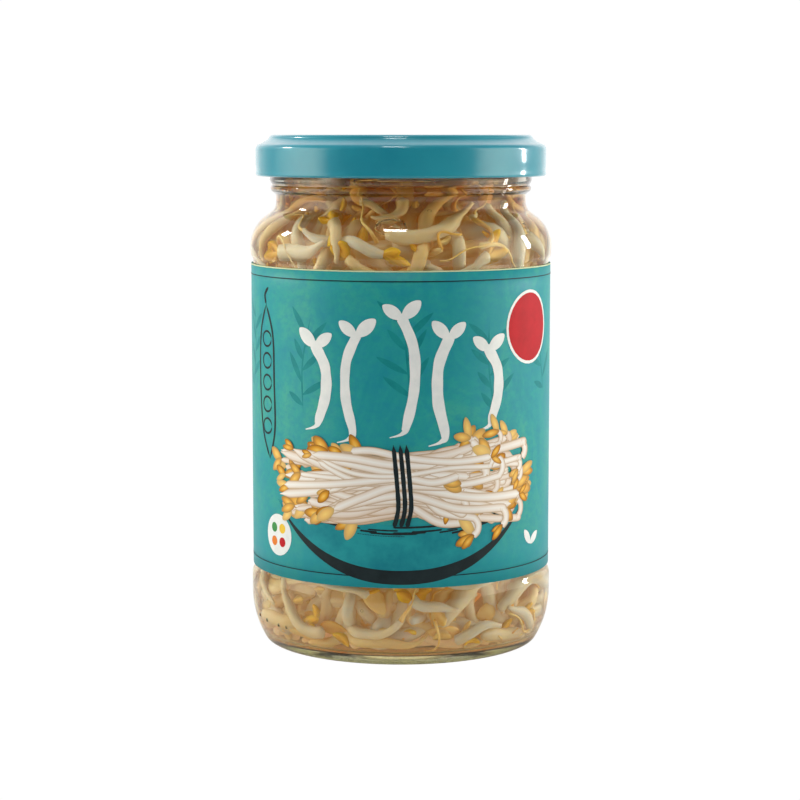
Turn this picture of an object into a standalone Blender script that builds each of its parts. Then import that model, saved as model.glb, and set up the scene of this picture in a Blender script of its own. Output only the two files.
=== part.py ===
"""A glass jar of bean sprouts: twist-off lid with its seal, wrap-round paper label, brine and packed sprouts.

Metres, +Z up. The origin is the middle of the jar's foot, on the surface that it stands on, and the front
of the label faces -Y. Each turned piece is a profile of (radius, height) points with a Screw modifier.
"""

import math
import random

import bmesh
import bpy
from mathutils import Vector

# The jar, which holds about 0.37 litre
JAR_RADIUS = 0.0360
PANEL_RADIUS = 0.03535
PANEL_LOW, PANEL_HIGH = 0.0179, 0.0917
PANEL_EDGE, PANEL_EDGE_DEPTH, PANEL_ROUNDING = 0.0007, 0.0003, 0.0010
INSIDE_RADIUS = 0.0332
HEEL_TOP = 0.0120
HEEL_ARC = 0.0220
FOOT_ARC = 0.0016
FOOT_INNER_RADIUS = 0.0292
PUSH_UP_RADIUS, PUSH_UP_EDGE, PUSH_UP_HEIGHT = 0.0286, 0.0004, 0.0026
INSIDE_HEEL_ARC = 0.0065
INSIDE_FLOOR = 0.0026
INSIDE_FLOOR_CROWN = 0.0024
SHOULDER_CENTRE = (0.0270, 0.0946)
SHOULDER_ARC, INSIDE_SHOULDER_ARC = 0.0090, 0.0062
NECK_FILLET_CENTRE = (0.0328, 0.1052)
NECK_FILLET, INSIDE_NECK_FILLET = 0.0030, 0.0058
NECK_TOP, FINISH_LOW = 0.1070, 0.1099
SHOULDER_DEG = 61.3
BEAD_CENTRE, BEAD_ARC = (0.03005, 0.1084), 0.0010
FINISH_RADIUS, BORE_RADIUS = 0.0312, 0.0285
BORE_FLARE_HEIGHT = 0.1115
RIM_HEIGHT = 0.1196
RIM_OUTER_ARC, RIM_INNER_ARC = 0.0010, 0.0008

# The thread: four short rounded ramps, one for each lug of the lid
LUG_COUNT = 4
THREAD_LEAD = 0.0070
THREAD_RADIUS, THREAD_BEAD = 0.0319, 0.0009
THREAD_HEIGHT = 0.11395
THREAD_START_DEG, THREAD_END_DEG = -9.0, 55.0
THREAD_STEPS = 6
THREAD_END_SINK, THREAD_END_TAPER = 0.0008, 0.5

# The lid, pressed from sheet steel
LID_RADIUS = 0.03455
LID_BOTTOM, LID_TOP = 0.1113, 0.1210
SHEET = 0.0003
CURL = 0.0006
LID_CORNER_CENTRE, LID_CORNER = (0.03310, 0.11750), 0.00145
LID_LEDGE = (0.0324, 0.1193)
LID_STEP_CENTRE, LID_STEP = (0.0304, 0.1200), 0.0010
LID_RING_INNER, LID_RING_ROUNDING = 0.0286, 0.0004
PANEL_STEP_RADIUS, PANEL_DROP = 0.0270, 0.0009
BUTTON_RADIUS, BUTTON_DROP, BUTTON_SLOPE = 0.0105, 0.0006, 0.6
LUG_SIZE = (0.0021, 0.0080, 0.00085)
LUG_INNER_RADIUS, LUG_BOTTOM = 0.0319, 0.11175

SEAL_INNER, SEAL_OUTER = 0.0286, 0.0303
GAP = 0.0003
SEAL_THICKNESS = 0.0005

# The label, whose glued overlap is at the back
LABEL_LOW, LABEL_HIGH = 0.0187, 0.0908
LABEL_INNER, PAPER = 0.0356, 0.0002
OVERLAP_DEG = 10.0

# The brine: its flat surface and the layer of it between the glass and the packed sprouts
BRINE_HEIGHT = 0.1120
BRINE_LAYER = 0.0007
BRINE_SURFACE_LAYER = 0.0014
BRINE_HOLE_RADIUS = 0.0070

# The sprouts, in three packed layers with a seeded draw for each
SEED = 5
GOLDEN_DEG, GOLDEN_SHARE = 137.508, 0.618
SPROUT_INSET = 2 * GAP + BRINE_LAYER
CORE_INSET, CORE_BEVEL, CORE_MARGIN = 0.0043, 0.0020, 0.0004
STEM_RADIUS, STEM_TAPER = 0.0016, 0.2
STEM_LENGTHS = (0.028, 0.042)
STEM_SLOPE, STEM_BEND, STEM_STEPS = 0.9, 30.0, 7
STEM_DEPTHS = (0.0022, 0.0, 0.0011)
ROOT_SINK = 0.0015
TAIL_RADIUS, TAIL_LENGTH, TAIL_STEPS = 0.0006, 0.0100, 4
SEED_LEAF = (0.0046, 0.0025, 0.0015)
SEED_LEAF_SPLAY, SEED_LEAF_SHIFT = 0.36, 0.0010
SEED_LEAF_PRESS = (0.0001, 0.0004)
LAYERS = {
    "sprouts_bottom": {"low": 0.0071, "high": 0.0296, "stems": 11, "heads": True},
    "sprouts_middle": {"low": 0.0300, "high": 0.0780, "stems": 8, "heads": False},
    "sprouts_top": {"low": 0.0784, "high": 0.1092, "stems": 14, "heads": True},
}

TURN_STEPS = 44
BRINE_STEPS = 28
CORE_STEPS = 20
LABEL_STEPS = 72
MERGE = 0.000001
CRUMB = 0.5e-9


def clear_scene():
    for obj in list(bpy.data.objects):
        bpy.data.objects.remove(obj)


def new_collection(name, hidden=False):
    collection = bpy.data.collections.new(name)
    bpy.context.scene.collection.children.link(collection)
    collection.hide_render = hidden
    return collection


def material(name, colour, roughness, metallic=0.0, transmission=0.0, ior=1.5):
    made = bpy.data.materials.new(name)
    made.use_nodes = True
    shader = made.node_tree.nodes["Principled BSDF"]
    shader.inputs["Base Color"].default_value = (*colour, 1.0)
    shader.inputs["Roughness"].default_value = roughness
    shader.inputs["Metallic"].default_value = metallic
    shader.inputs["Transmission Weight"].default_value = transmission
    shader.inputs["IOR"].default_value = ior
    return made


def arc(centre, radius, start_deg, end_deg, steps):
    """(radius, height) points along an arc, both ends included."""
    points = []
    for i in range(steps + 1):
        turn = math.radians(start_deg + (end_deg - start_deg) * i / steps)
        points.append((centre[0] + radius * math.cos(turn), centre[1] + radius * math.sin(turn)))
    return points


def link(obj, collection, finish):
    obj.data.materials.append(finish)
    collection.objects.link(obj)
    return obj


def turned(name, profile, collection, finish, steps=TURN_STEPS, closed=False):
    """A turned solid. The profile runs down its outer side, from the axis to the axis, or round a ring."""
    mesh = bpy.data.meshes.new(name)
    edges = [(i, i + 1) for i in range(len(profile) - 1)]
    if closed:
        edges.append((len(profile) - 1, 0))
    mesh.from_pydata([(r, 0.0, z) for r, z in profile], edges, [])
    obj = link(bpy.data.objects.new(name, mesh), collection, finish)
    screw = obj.modifiers.new("Turn", "SCREW")
    screw.axis = "Z"
    screw.steps = screw.render_steps = steps
    screw.use_merge_vertices = True
    screw.merge_threshold = 0.00001
    screw.use_smooth_shade = True
    return obj


def drop_crumbs(work):
    """Removes what a union leaves between repeats: closed pockets, whose volume is negative, and slivers."""
    left = set(work.faces)
    gone = set()
    while left:
        island, fresh = set(), {next(iter(left))}
        while fresh:
            island |= fresh
            fresh = {other for face in fresh for edge in face.edges for other in edge.link_faces} - island
        left -= island
        volume = sum(f.calc_center_median().dot(f.normal) * f.calc_area() for f in island) / 3
        if volume < CRUMB:
            gone |= island
    bmesh.ops.delete(work, geom=list(gone), context="FACES")


def as_mesh(obj, tidy=False):
    """The object as Blender evaluates it, as a plain mesh in the same place, with a curve's caps welded."""
    bpy.context.view_layer.update()
    graph = bpy.context.evaluated_depsgraph_get()
    mesh = bpy.data.meshes.new_from_object(obj.evaluated_get(graph))
    work = bmesh.new()
    work.from_mesh(mesh)
    bmesh.ops.remove_doubles(work, verts=work.verts, dist=MERGE)
    if tidy:
        bmesh.ops.triangulate(work, faces=work.faces)
        drop_crumbs(work)
    else:
        bmesh.ops.recalc_face_normals(work, faces=work.faces)
    work.to_mesh(mesh)
    work.free()
    name, place, collection = obj.name, obj.matrix_world.copy(), obj.users_collection[0]
    bpy.data.objects.remove(obj)
    made = bpy.data.objects.new(name, mesh)
    made.matrix_world = place
    collection.objects.link(made)
    return made


def tube(name, points, radii, collection, sides_step):
    """A tube along points, whose radius at each point is given, as a mesh with closed ends."""
    curve = bpy.data.curves.new(name, "CURVE")
    curve.dimensions = "3D"
    curve.bevel_depth = 1.0
    curve.bevel_resolution = sides_step
    curve.use_fill_caps = True
    spline = curve.splines.new("POLY")
    spline.points.add(len(points) - 1)
    for place, point, radius in zip(spline.points, points, radii):
        place.co = (*point, 1.0)
        place.radius = radius
    obj = bpy.data.objects.new(name, curve)
    collection.objects.link(obj)
    return as_mesh(obj)


def join_by_union(obj, joined):
    """Unites a collection's objects with obj, applies it, and removes them. Returns the plain mesh object."""
    union = obj.modifiers.new("Join", "BOOLEAN")
    union.operation = "UNION"
    union.operand_type = "COLLECTION"
    union.collection = joined
    finish = obj.data.materials[0]
    made = as_mesh(obj, tidy=True)
    made.data.materials.clear()
    made.data.materials.append(finish)
    for other in list(joined.objects):
        bpy.data.objects.remove(other)
    bpy.data.collections.remove(joined)
    return made


def inside_radius(height, inset=0.0):
    """The radius, at a height, of the jar's inner wall moved in by inset."""
    heel_centre = INSIDE_FLOOR + INSIDE_HEEL_ARC
    if height < heel_centre:
        heel = max(INSIDE_HEEL_ARC - inset, 0.0001)
        drop = min(heel_centre - height, heel)
        return INSIDE_RADIUS - INSIDE_HEEL_ARC + math.sqrt(heel**2 - drop**2)
    if height < SHOULDER_CENTRE[1]:
        return INSIDE_RADIUS - inset
    shoulder = INSIDE_SHOULDER_ARC - inset
    rise = height - SHOULDER_CENTRE[1]
    if rise < shoulder * math.sin(math.radians(SHOULDER_DEG)):
        return SHOULDER_CENTRE[0] + math.sqrt(shoulder**2 - rise**2)
    fillet = INSIDE_NECK_FILLET + inset
    drop = NECK_FILLET_CENTRE[1] - height
    if drop > 0.0:
        return NECK_FILLET_CENTRE[0] - math.sqrt(fillet**2 - drop**2)
    neck = NECK_FILLET_CENTRE[0] - INSIDE_NECK_FILLET
    share = min(1.0, -drop / (BORE_FLARE_HEIGHT - NECK_FILLET_CENTRE[1]))
    return neck + share * (BORE_RADIUS - neck) - inset


def inner_wall(inset, low, high, arc_steps):
    """The inner wall's profile from the floor up to a height, moved in by inset, as (radius, height) points."""
    heel = INSIDE_HEEL_ARC - inset
    heel_centre = (INSIDE_RADIUS - INSIDE_HEEL_ARC, INSIDE_FLOOR + INSIDE_HEEL_ARC)
    points = [(low, INSIDE_FLOOR + inset + INSIDE_FLOOR_CROWN * (1 - (low / heel_centre[0]) ** 2))]
    points += arc(heel_centre, heel, -90, 0, arc_steps)
    points += arc(SHOULDER_CENTRE, INSIDE_SHOULDER_ARC - inset, 0, SHOULDER_DEG, arc_steps)
    fillet = arc(NECK_FILLET_CENTRE, INSIDE_NECK_FILLET + inset, 180 + SHOULDER_DEG, 180, arc_steps)
    points += fillet[1:]
    points.append((inside_radius(high, inset), high))
    return points


def jar_profile():
    """From the middle of the inside floor, up the inside, over the rim and down the outside to the push-up."""
    inside = inner_wall(0.0, 0.0, BORE_FLARE_HEIGHT, 3)
    rim_inner = (BORE_RADIUS + RIM_INNER_ARC, RIM_HEIGHT - RIM_INNER_ARC)
    rim_outer = (FINISH_RADIUS - RIM_OUTER_ARC, RIM_HEIGHT - RIM_OUTER_ARC)
    finish = arc(rim_inner, RIM_INNER_ARC, 180, 90, 2) + arc(rim_outer, RIM_OUTER_ARC, 90, 0, 2)
    finish.append((FINISH_RADIUS, FINISH_LOW))
    bead = arc(BEAD_CENTRE, BEAD_ARC, 45, -70, 2)
    neck_radius = NECK_FILLET_CENTRE[0] - NECK_FILLET
    shoulder = [(neck_radius, NECK_TOP)]
    shoulder += arc(NECK_FILLET_CENTRE, NECK_FILLET, 180, 180 + SHOULDER_DEG, 3)
    shoulder += arc(SHOULDER_CENTRE, SHOULDER_ARC, SHOULDER_DEG, 0, 5)[1:]
    body = [
        (JAR_RADIUS - PANEL_EDGE_DEPTH, PANEL_HIGH + PANEL_EDGE),
        (PANEL_RADIUS, PANEL_HIGH),
        (PANEL_RADIUS, PANEL_LOW),
        (JAR_RADIUS - PANEL_EDGE_DEPTH, PANEL_LOW - PANEL_EDGE),
        (JAR_RADIUS, PANEL_LOW - PANEL_EDGE - PANEL_ROUNDING),
    ]
    heel_slope = math.asin((HEEL_TOP - FOOT_ARC) / (HEEL_ARC - FOOT_ARC))
    heel_centre = (JAR_RADIUS - HEEL_ARC, HEEL_TOP)
    foot_centre = (heel_centre[0] + (HEEL_ARC - FOOT_ARC) * math.cos(heel_slope), FOOT_ARC)
    heel = arc(heel_centre, HEEL_ARC, 0, -math.degrees(heel_slope), 4)
    foot = arc(foot_centre, FOOT_ARC, -math.degrees(heel_slope), -90, 2)[1:]
    under = [(FOOT_INNER_RADIUS, 0.0)]
    for share in (1.0, 0.6, 0.0):
        rise = PUSH_UP_HEIGHT - (PUSH_UP_HEIGHT - PUSH_UP_EDGE) * share**2
        under.append((PUSH_UP_RADIUS * share, rise))
    return inside + finish + bead + shoulder + body + heel + foot + under


def thread_height(turn_deg):
    """The height of a thread ramp's middle, counted from the lug that it holds when the lid is shut."""
    return THREAD_HEIGHT + THREAD_LEAD * turn_deg / 360


def make_jar(collection):
    glass = material("jar_glass", (0.86, 0.91, 0.86), 0.03, transmission=1.0, ior=1.52)
    jar = turned("glass_jar", jar_profile(), collection, glass)
    ramps = new_collection("thread_ramps", hidden=True)
    for lug in range(LUG_COUNT):
        points, radii = [], []
        for i in range(THREAD_STEPS + 1):
            turn_deg = THREAD_START_DEG + (THREAD_END_DEG - THREAD_START_DEG) * i / THREAD_STEPS
            turn = math.radians(turn_deg + lug * 360 / LUG_COUNT)
            at_end = i in (0, THREAD_STEPS)
            radius = THREAD_RADIUS - (THREAD_END_SINK if at_end else 0.0)
            points.append((radius * math.cos(turn), radius * math.sin(turn), thread_height(turn_deg)))
            radii.append(THREAD_BEAD * (THREAD_END_TAPER if at_end else 1.0))
        tube(f"thread_{lug}", points, radii, ramps, 1)
    return join_by_union(jar, ramps)


def moved_in(points, distance):
    """A line of points moved to its right by a distance, which is inwards on a profile that runs down."""
    directions = []
    for (r0, z0), (r1, z1) in zip(points, points[1:]):
        length = math.hypot(r1 - r0, z1 - z0)
        directions.append(((r1 - r0) / length, (z1 - z0) / length))
    moved = []
    for i, (r, z) in enumerate(points):
        before = directions[max(i - 1, 0)]
        after = directions[min(i, len(directions) - 1)]
        share = distance / (1 + before[0] * after[0] + before[1] * after[1])
        moved.append((r + share * (before[1] + after[1]), z - share * (before[0] + after[0])))
    return moved


def lid_profile():
    """The outer side from the middle, over the ring and down the skirt, round the curl, and back inside."""
    panel = LID_TOP - PANEL_DROP
    outside = [
        (0.0, panel - BUTTON_DROP),
        (BUTTON_RADIUS * BUTTON_SLOPE, panel - BUTTON_DROP * BUTTON_SLOPE),
        (BUTTON_RADIUS, panel),
        (PANEL_STEP_RADIUS, panel),
        (LID_RING_INNER - LID_RING_ROUNDING, LID_TOP - LID_RING_ROUNDING / 2),
        (LID_RING_INNER, LID_TOP),
    ]
    outside += arc(LID_STEP_CENTRE, LID_STEP, 90, 10, 2)
    outside.append(LID_LEDGE)
    outside += arc(LID_CORNER_CENTRE, LID_CORNER, 75, 0, 3)
    curl_centre = (LID_RADIUS - CURL, LID_BOTTOM + CURL)
    curl = arc(curl_centre, CURL, 0, -240, 6)
    skirt_foot = (LID_RADIUS, LID_BOTTOM + 2.2 * CURL)
    inside = moved_in(outside + [skirt_foot], SHEET)
    inside[0] = (0.0, inside[0][1])
    return outside + curl + inside[::-1]


def make_lid(collection):
    paint = material("lid_paint", (0.10, 0.40, 0.47), 0.25)
    lid = turned("lid", lid_profile(), collection, paint)
    lugs = new_collection("lid_lugs", hidden=True)
    depth, width, height = LUG_SIZE
    for lug in range(LUG_COUNT):
        turn = math.radians(lug * 360 / LUG_COUNT)
        bpy.ops.mesh.primitive_cube_add(size=1.0)
        block = bpy.context.object
        block.name = f"lug_{lug}"
        block.scale = (depth, width, height)
        reach = LUG_INNER_RADIUS + depth / 2
        block.location = (reach * math.cos(turn), reach * math.sin(turn), LUG_BOTTOM + height / 2)
        block.rotation_euler = (0.0, 0.0, turn)
        for owner in list(block.users_collection):
            owner.objects.unlink(block)
        lugs.objects.link(block)
    return join_by_union(lid, lugs)


def make_seal(collection):
    compound = material("seal_compound", (0.82, 0.80, 0.74), 0.6)
    top = LID_TOP - SHEET - GAP
    low = top - SEAL_THICKNESS
    profile = [(SEAL_INNER, top), (SEAL_OUTER, top), (SEAL_OUTER, low), (SEAL_INNER, low)]
    return turned("lid_seal", profile, collection, compound, closed=True)


def make_label(collection):
    """A closed band: an outer outline with the overlap's step at the back, and the inner circle, extruded."""
    paper = material("label_paper", (0.16, 0.50, 0.52), 0.55)
    curve = bpy.data.curves.new("label", "CURVE")
    curve.dimensions = "2D"
    curve.fill_mode = "BOTH"
    curve.extrude = (LABEL_HIGH - LABEL_LOW) / 2
    for outer in (True, False):
        spline = curve.splines.new("POLY")
        spline.use_cyclic_u = True
        spline.points.add(LABEL_STEPS - 1)
        for i in range(LABEL_STEPS):
            turn = 2 * math.pi * i / LABEL_STEPS
            from_back = abs(math.degrees(turn) - 90)
            layers = 0 if not outer else (2 if from_back <= OVERLAP_DEG / 2 else 1)
            radius = LABEL_INNER + layers * PAPER
            spline.points[i].co = (radius * math.cos(turn), radius * math.sin(turn), 0.0, 1.0)
    label = link(bpy.data.objects.new("label", curve), collection, paper)
    label.location.z = (LABEL_LOW + LABEL_HIGH) / 2
    return label


def make_brine(collection):
    """Liquid under its flat surface and along the glass, round one plain hole that holds the sprouts."""
    liquid = material("brine", (0.80, 0.66, 0.42), 0.02, transmission=1.0, ior=1.34)
    outer = inner_wall(GAP, BRINE_HOLE_RADIUS, BRINE_HEIGHT, 3)
    inner = inner_wall(GAP + BRINE_LAYER, BRINE_HOLE_RADIUS, BRINE_HEIGHT - BRINE_SURFACE_LAYER, 3)
    top = [(0.0, BRINE_HEIGHT)]
    ceiling = [(0.0, BRINE_HEIGHT - BRINE_SURFACE_LAYER)]
    profile = top + outer[::-1] + inner + ceiling
    return turned("brine", profile, collection, liquid, steps=BRINE_STEPS)


def stem_route(draw, index, low, high):
    """(angle, height, share) points of one stem: an even curve on the unrolled wall, fitted between two heights."""
    turn = math.radians(GOLDEN_DEG * index + draw.uniform(-12, 12))
    middle = low + (high - low) * ((0.25 + index * 0.618) % 1.0)
    length = draw.uniform(*STEM_LENGTHS)
    heading = draw.uniform(-STEM_SLOPE, STEM_SLOPE)
    bend = draw.uniform(-STEM_BEND, STEM_BEND)
    arounds, ups = [0.0], [0.0]
    for i in range(STEM_STEPS):
        direction = heading + bend * length * ((i + 0.5) / STEM_STEPS - 0.5)
        arounds.append(arounds[-1] + length / STEM_STEPS * math.cos(direction))
        ups.append(ups[-1] + length / STEM_STEPS * math.sin(direction))
    squeeze = min(1.0, 0.96 * (high - low) / (max(ups) - min(ups)))
    shift = middle - squeeze * (max(ups) + min(ups)) / 2
    shift = min(max(shift, low - squeeze * min(ups)), high - squeeze * max(ups))
    route = []
    for i, (around, up) in enumerate(zip(arounds, ups)):
        route.append((turn + around / INSIDE_RADIUS, shift + up * squeeze, i / STEM_STEPS))
    return route


def wall_point(turn, height, inset):
    """A point on the wall moved in by inset."""
    radius = inside_radius(height, inset)
    return Vector((radius * math.cos(turn), radius * math.sin(turn), height))


def wall_normal(turn, height):
    """The wall's outward direction at an angle and a height."""
    step = 0.0005
    up = wall_point(turn, height + step, SPROUT_INSET) - wall_point(turn, height - step, SPROUT_INSET)
    return Vector((-math.sin(turn), math.cos(turn), 0.0)).cross(up).normalized()


def add_head(name, points, layer, draw, collection):
    """Two seed leaves at a stem's end, which lie against the wall and splay along the stem."""
    length, width, depth = SEED_LEAF
    end = points[-1]
    ahead = (points[-1] - points[-3]).normalized()
    for way in (-1, 1):
        out = wall_normal(math.atan2(end.y, end.x), end.z)
        side = out.cross(ahead) * way
        axis = (ahead + side * SEED_LEAF_SPLAY).normalized()
        middle = end + axis * length / 2 + side * SEED_LEAF_SHIFT
        height = min(max(middle.z, layer["low"] + length), layer["high"] - length)
        turn = math.atan2(middle.y, middle.x)
        centre = wall_point(turn, height, SPROUT_INSET + depth + draw.uniform(*SEED_LEAF_PRESS))
        out = wall_normal(turn, height)
        axis = (axis - out * axis.dot(out)).normalized()
        across = out.cross(axis)
        work = bmesh.new()
        bmesh.ops.create_uvsphere(work, u_segments=6, v_segments=4, radius=1.0)
        for v in work.verts:
            v.co = centre + axis * v.co.z * length + across * v.co.x * width + out * v.co.y * depth
            flat = Vector((v.co.x, v.co.y))
            flat.length = min(flat.length, inside_radius(v.co.z, SPROUT_INSET))
            v.co.x, v.co.y = flat
        bmesh.ops.recalc_face_normals(work, faces=work.faces)
        mesh = bpy.data.meshes.new(f"{name}_{way}")
        work.to_mesh(mesh)
        work.free()
        collection.objects.link(bpy.data.objects.new(mesh.name, mesh))


def add_tail(name, route, layer, draw, collection):
    """A thin root from a stem's end, which lies half sunk in the core."""
    turn, height, _ = route[-1]
    heading = draw.uniform(-STEM_SLOPE, STEM_SLOPE)
    points, radii = [], []
    for i in range(TAIL_STEPS + 1):
        share = i / TAIL_STEPS
        rise = height + TAIL_LENGTH * share * math.sin(heading)
        rise = min(max(rise, layer["low"] + 2 * TAIL_RADIUS), layer["high"] - 2 * TAIL_RADIUS)
        around = turn + (TAIL_LENGTH * share - STEM_RADIUS) * math.cos(heading) / INSIDE_RADIUS
        points.append(wall_point(around, rise, CORE_INSET))
        radii.append(TAIL_RADIUS * (1.5 - 0.5 * share))
    tube(name, points, radii, collection, 0)


def core_profile(low, high):
    """The packed middle of a layer, which follows the jar's wall."""
    low, high = low + CORE_MARGIN, high - CORE_MARGIN
    points = [(0.0, high), (inside_radius(high) - CORE_INSET - CORE_BEVEL, high)]
    steps = 5
    for i in range(steps + 1):
        height = high - CORE_BEVEL - (high - low - 2 * CORE_BEVEL) * i / steps
        points.append((inside_radius(height) - CORE_INSET, height))
    points += [(inside_radius(low + CORE_BEVEL) - CORE_INSET - CORE_BEVEL, low), (0.0, low)]
    return points


def make_sprouts(name, layer, order, collection, finish):
    """One packed layer of sprouts: stems that stand out of its core, with heads and thin roots."""
    draw = random.Random(SEED + order)
    low, high = layer["low"], layer["high"]
    core = as_mesh(turned(name, core_profile(low, high), collection, finish, steps=CORE_STEPS))
    repeats = new_collection(f"{name}_stems", hidden=True)
    for index in range(layer["stems"]):
        headed = layer["heads"] and index % 2 == 0
        spare = STEM_RADIUS + (SEED_LEAF[0] / 2 if headed else 0.0)
        route = stem_route(draw, index, low + spare, high - spare)
        sunk_by = STEM_DEPTHS[index % len(STEM_DEPTHS)]
        points, radii = [], []
        for turn, height, share in route:
            at_root = share == 0.0 or (share == 1.0 and not headed)
            inset = SPROUT_INSET + STEM_RADIUS + sunk_by + (ROOT_SINK if at_root else 0.0)
            points.append(wall_point(turn, height, inset))
            radii.append(STEM_RADIUS * (1 - STEM_TAPER * (1 - math.sin(math.pi * share))))
        tube(f"{name}_{index}", points, radii, repeats, 1)
        if headed:
            add_head(f"{name}_head_{index}", points, layer, draw, repeats)
        else:
            add_tail(f"{name}_tail_{index}", route, layer, draw, repeats)
    return join_by_union(core, repeats)


def main():
    clear_scene()
    collection = new_collection("jar_of_bean_sprouts")
    make_jar(collection)
    make_lid(collection)
    make_seal(collection)
    make_label(collection)
    make_brine(collection)
    flesh = material("sprout_flesh", (0.80, 0.70, 0.50), 0.4)
    for order, (name, layer) in enumerate(LAYERS.items()):
        make_sprouts(name, layer, order, collection, flesh)


main()
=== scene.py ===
"""Looks of a closed glass jar of bean sprouts in brine, with a teal lid and a printed paper label.

Metres, +Z up the jar's axis, the front of the label towards -Y. Lengths along the jar's wall are unrolled.
"""

import math
import random

import bmesh
import bpy
import numpy as np
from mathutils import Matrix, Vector


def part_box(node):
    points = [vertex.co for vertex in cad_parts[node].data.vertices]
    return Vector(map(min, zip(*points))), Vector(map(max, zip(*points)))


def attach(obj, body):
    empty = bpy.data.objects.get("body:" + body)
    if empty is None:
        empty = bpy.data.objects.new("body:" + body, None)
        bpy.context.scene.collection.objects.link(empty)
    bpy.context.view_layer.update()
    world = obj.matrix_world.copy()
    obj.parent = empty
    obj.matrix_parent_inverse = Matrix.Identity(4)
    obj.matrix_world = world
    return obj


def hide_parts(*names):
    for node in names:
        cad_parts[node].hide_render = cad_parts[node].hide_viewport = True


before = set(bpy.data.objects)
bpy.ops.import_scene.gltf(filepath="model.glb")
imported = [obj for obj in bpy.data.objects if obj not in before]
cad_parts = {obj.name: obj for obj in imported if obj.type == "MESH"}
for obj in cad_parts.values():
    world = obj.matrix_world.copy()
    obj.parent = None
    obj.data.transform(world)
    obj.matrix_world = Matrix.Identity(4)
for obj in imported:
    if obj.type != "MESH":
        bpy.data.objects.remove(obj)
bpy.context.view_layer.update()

MM = 0.001

# The jar's own sizes, as the frame's glass has them
JAR_RADIUS = 36.0 * MM
PANEL_RADIUS, PANEL_LOW, PANEL_HIGH = 35.35 * MM, 17.9 * MM, 91.7 * MM
PANEL_EDGE, PANEL_EDGE_DEPTH, PANEL_ROUNDING = 0.7 * MM, 0.3 * MM, 1.0 * MM
INSIDE_RADIUS, INSIDE_FLOOR, INSIDE_CROWN, INSIDE_HEEL = 33.2 * MM, 2.6 * MM, 2.4 * MM, 6.5 * MM
HEEL_TOP, HEEL_ARC, FOOT_ARC, FOOT_INNER = 12.0 * MM, 22.0 * MM, 1.6 * MM, 29.2 * MM
PUSH_UP_RADIUS, PUSH_UP_EDGE, PUSH_UP_HEIGHT = 28.6 * MM, 0.4 * MM, 2.6 * MM
SHOULDER_CENTRE, SHOULDER_ARC, INSIDE_SHOULDER = (27.0 * MM, 94.6 * MM), 9.0 * MM, 6.2 * MM
FILLET_CENTRE, FILLET_ARC, INSIDE_FILLET = (32.8 * MM, 105.2 * MM), 3.0 * MM, 5.8 * MM
SHOULDER_DEG = 61.3
NECK_TOP, BEAD_CENTRE, BEAD_ARC = 107.0 * MM, (30.05 * MM, 108.4 * MM), 1.0 * MM
FINISH_RADIUS, FINISH_LOW, BORE_RADIUS = 31.2 * MM, 109.9 * MM, 28.5 * MM
BORE_FLARE, RIM_HEIGHT, RIM_OUTER, RIM_INNER = 111.5 * MM, 119.6 * MM, 1.0 * MM, 0.8 * MM
THREAD_LEAD, THREAD_RADIUS, THREAD_BEAD, THREAD_HEIGHT = 7.0 * MM, 31.9 * MM, 0.9 * MM, 113.95 * MM
THREAD_START, THREAD_END, LUG_COUNT = -9.0, 55.0, 4
MOULD_DOTS = [(-71.0, 7.3 * MM), (-63.5, 6.9 * MM), (-54.5, 6.7 * MM), (-49.5, 6.7 * MM)]
DOT = (0.26 * MM, 0.42 * MM, 0.2 * MM)

# The lid
LID_RADIUS, LID_BOTTOM, LID_TOP = 34.55 * MM, 111.3 * MM, 121.0 * MM
SHEET, CURL = 0.3 * MM, 0.6 * MM
LID_CORNER_CENTRE, LID_CORNER = (33.10 * MM, 117.5 * MM), 1.45 * MM
LID_STEP_CENTRE, LID_STEP = (30.4 * MM, 120.0 * MM), 1.0 * MM
LID_RING_INNER, PANEL_STEP_RADIUS, PANEL_DROP = 28.6 * MM, 27.0 * MM, 0.9 * MM
BUTTON_RADIUS, BUTTON_DROP = 10.5 * MM, 0.6 * MM
LUG_INNER, LUG_DEPTH, LUG_WIDTH, LUG_HEIGHT, LUG_BOTTOM = 31.9 * MM, 2.1 * MM, 8.0 * MM, 0.85 * MM, 111.75 * MM

# The label
LABEL_LOW, LABEL_HIGH = (corner.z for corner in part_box("label"))
LABEL_INNER, PAPER, OVERLAP_DEG = 35.55 * MM, 0.18 * MM, 9.0
PRINT_RADIUS = LABEL_INNER + PAPER
LEVEL, CELL = 0.0018 * MM, 0.5 * MM
PRINT_LIFTS = {"leaves": 0.006, "shade": 0.016, "strokes": 0.030, "white": 0.052, "rules": 0.064, "edge": 0.006}
PRINT_LIFTS |= {"red": 0.064}
PRINT_SHINE = 0.14
PRINT_LIFTS |= {"green": 0.064, "yellow": 0.064, "orange": 0.064, "bundle": 0.078, "ties": 0.078}

# The brine
BRINE_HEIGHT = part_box("brine")[1].z
BRINE_INTO_GLASS = 0.12 * MM
MENISCUS, MENISCUS_REACH = 0.9 * MM, 1.6 * MM

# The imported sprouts
SEED = 5
STEM_RADIUS = 1.75 * MM
# Painted shade on the sprouts: it grows with their depth in the pack and up in the neck under the lid, and less of it
# is painted near the floor
NECK_FROM, NECK_REACH, NECK_SHADE, LOW_PALE = 99.0 * MM, 9.0 * MM, 0.5, 0.4
WALL_GAP = 0.10 * MM
DEEPEST = 9.5 * MM
PLAIN_FROM = 4.2 * MM
CORE_DEPTH = 11.5 * MM
SCRAPS = 80
BACK_STRANDS, BACK_DEPTHS = 300, (5.0 * MM, 9.0 * MM)
PLACES_TRIED = 5
FILL_PITCH, FILL_MOST = 2.0 * MM, 900
SHOWN_LOW, SHOWN_HIGH, LOW_BAND = 25.0 * MM, 84.5 * MM, 5.0 * MM

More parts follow.
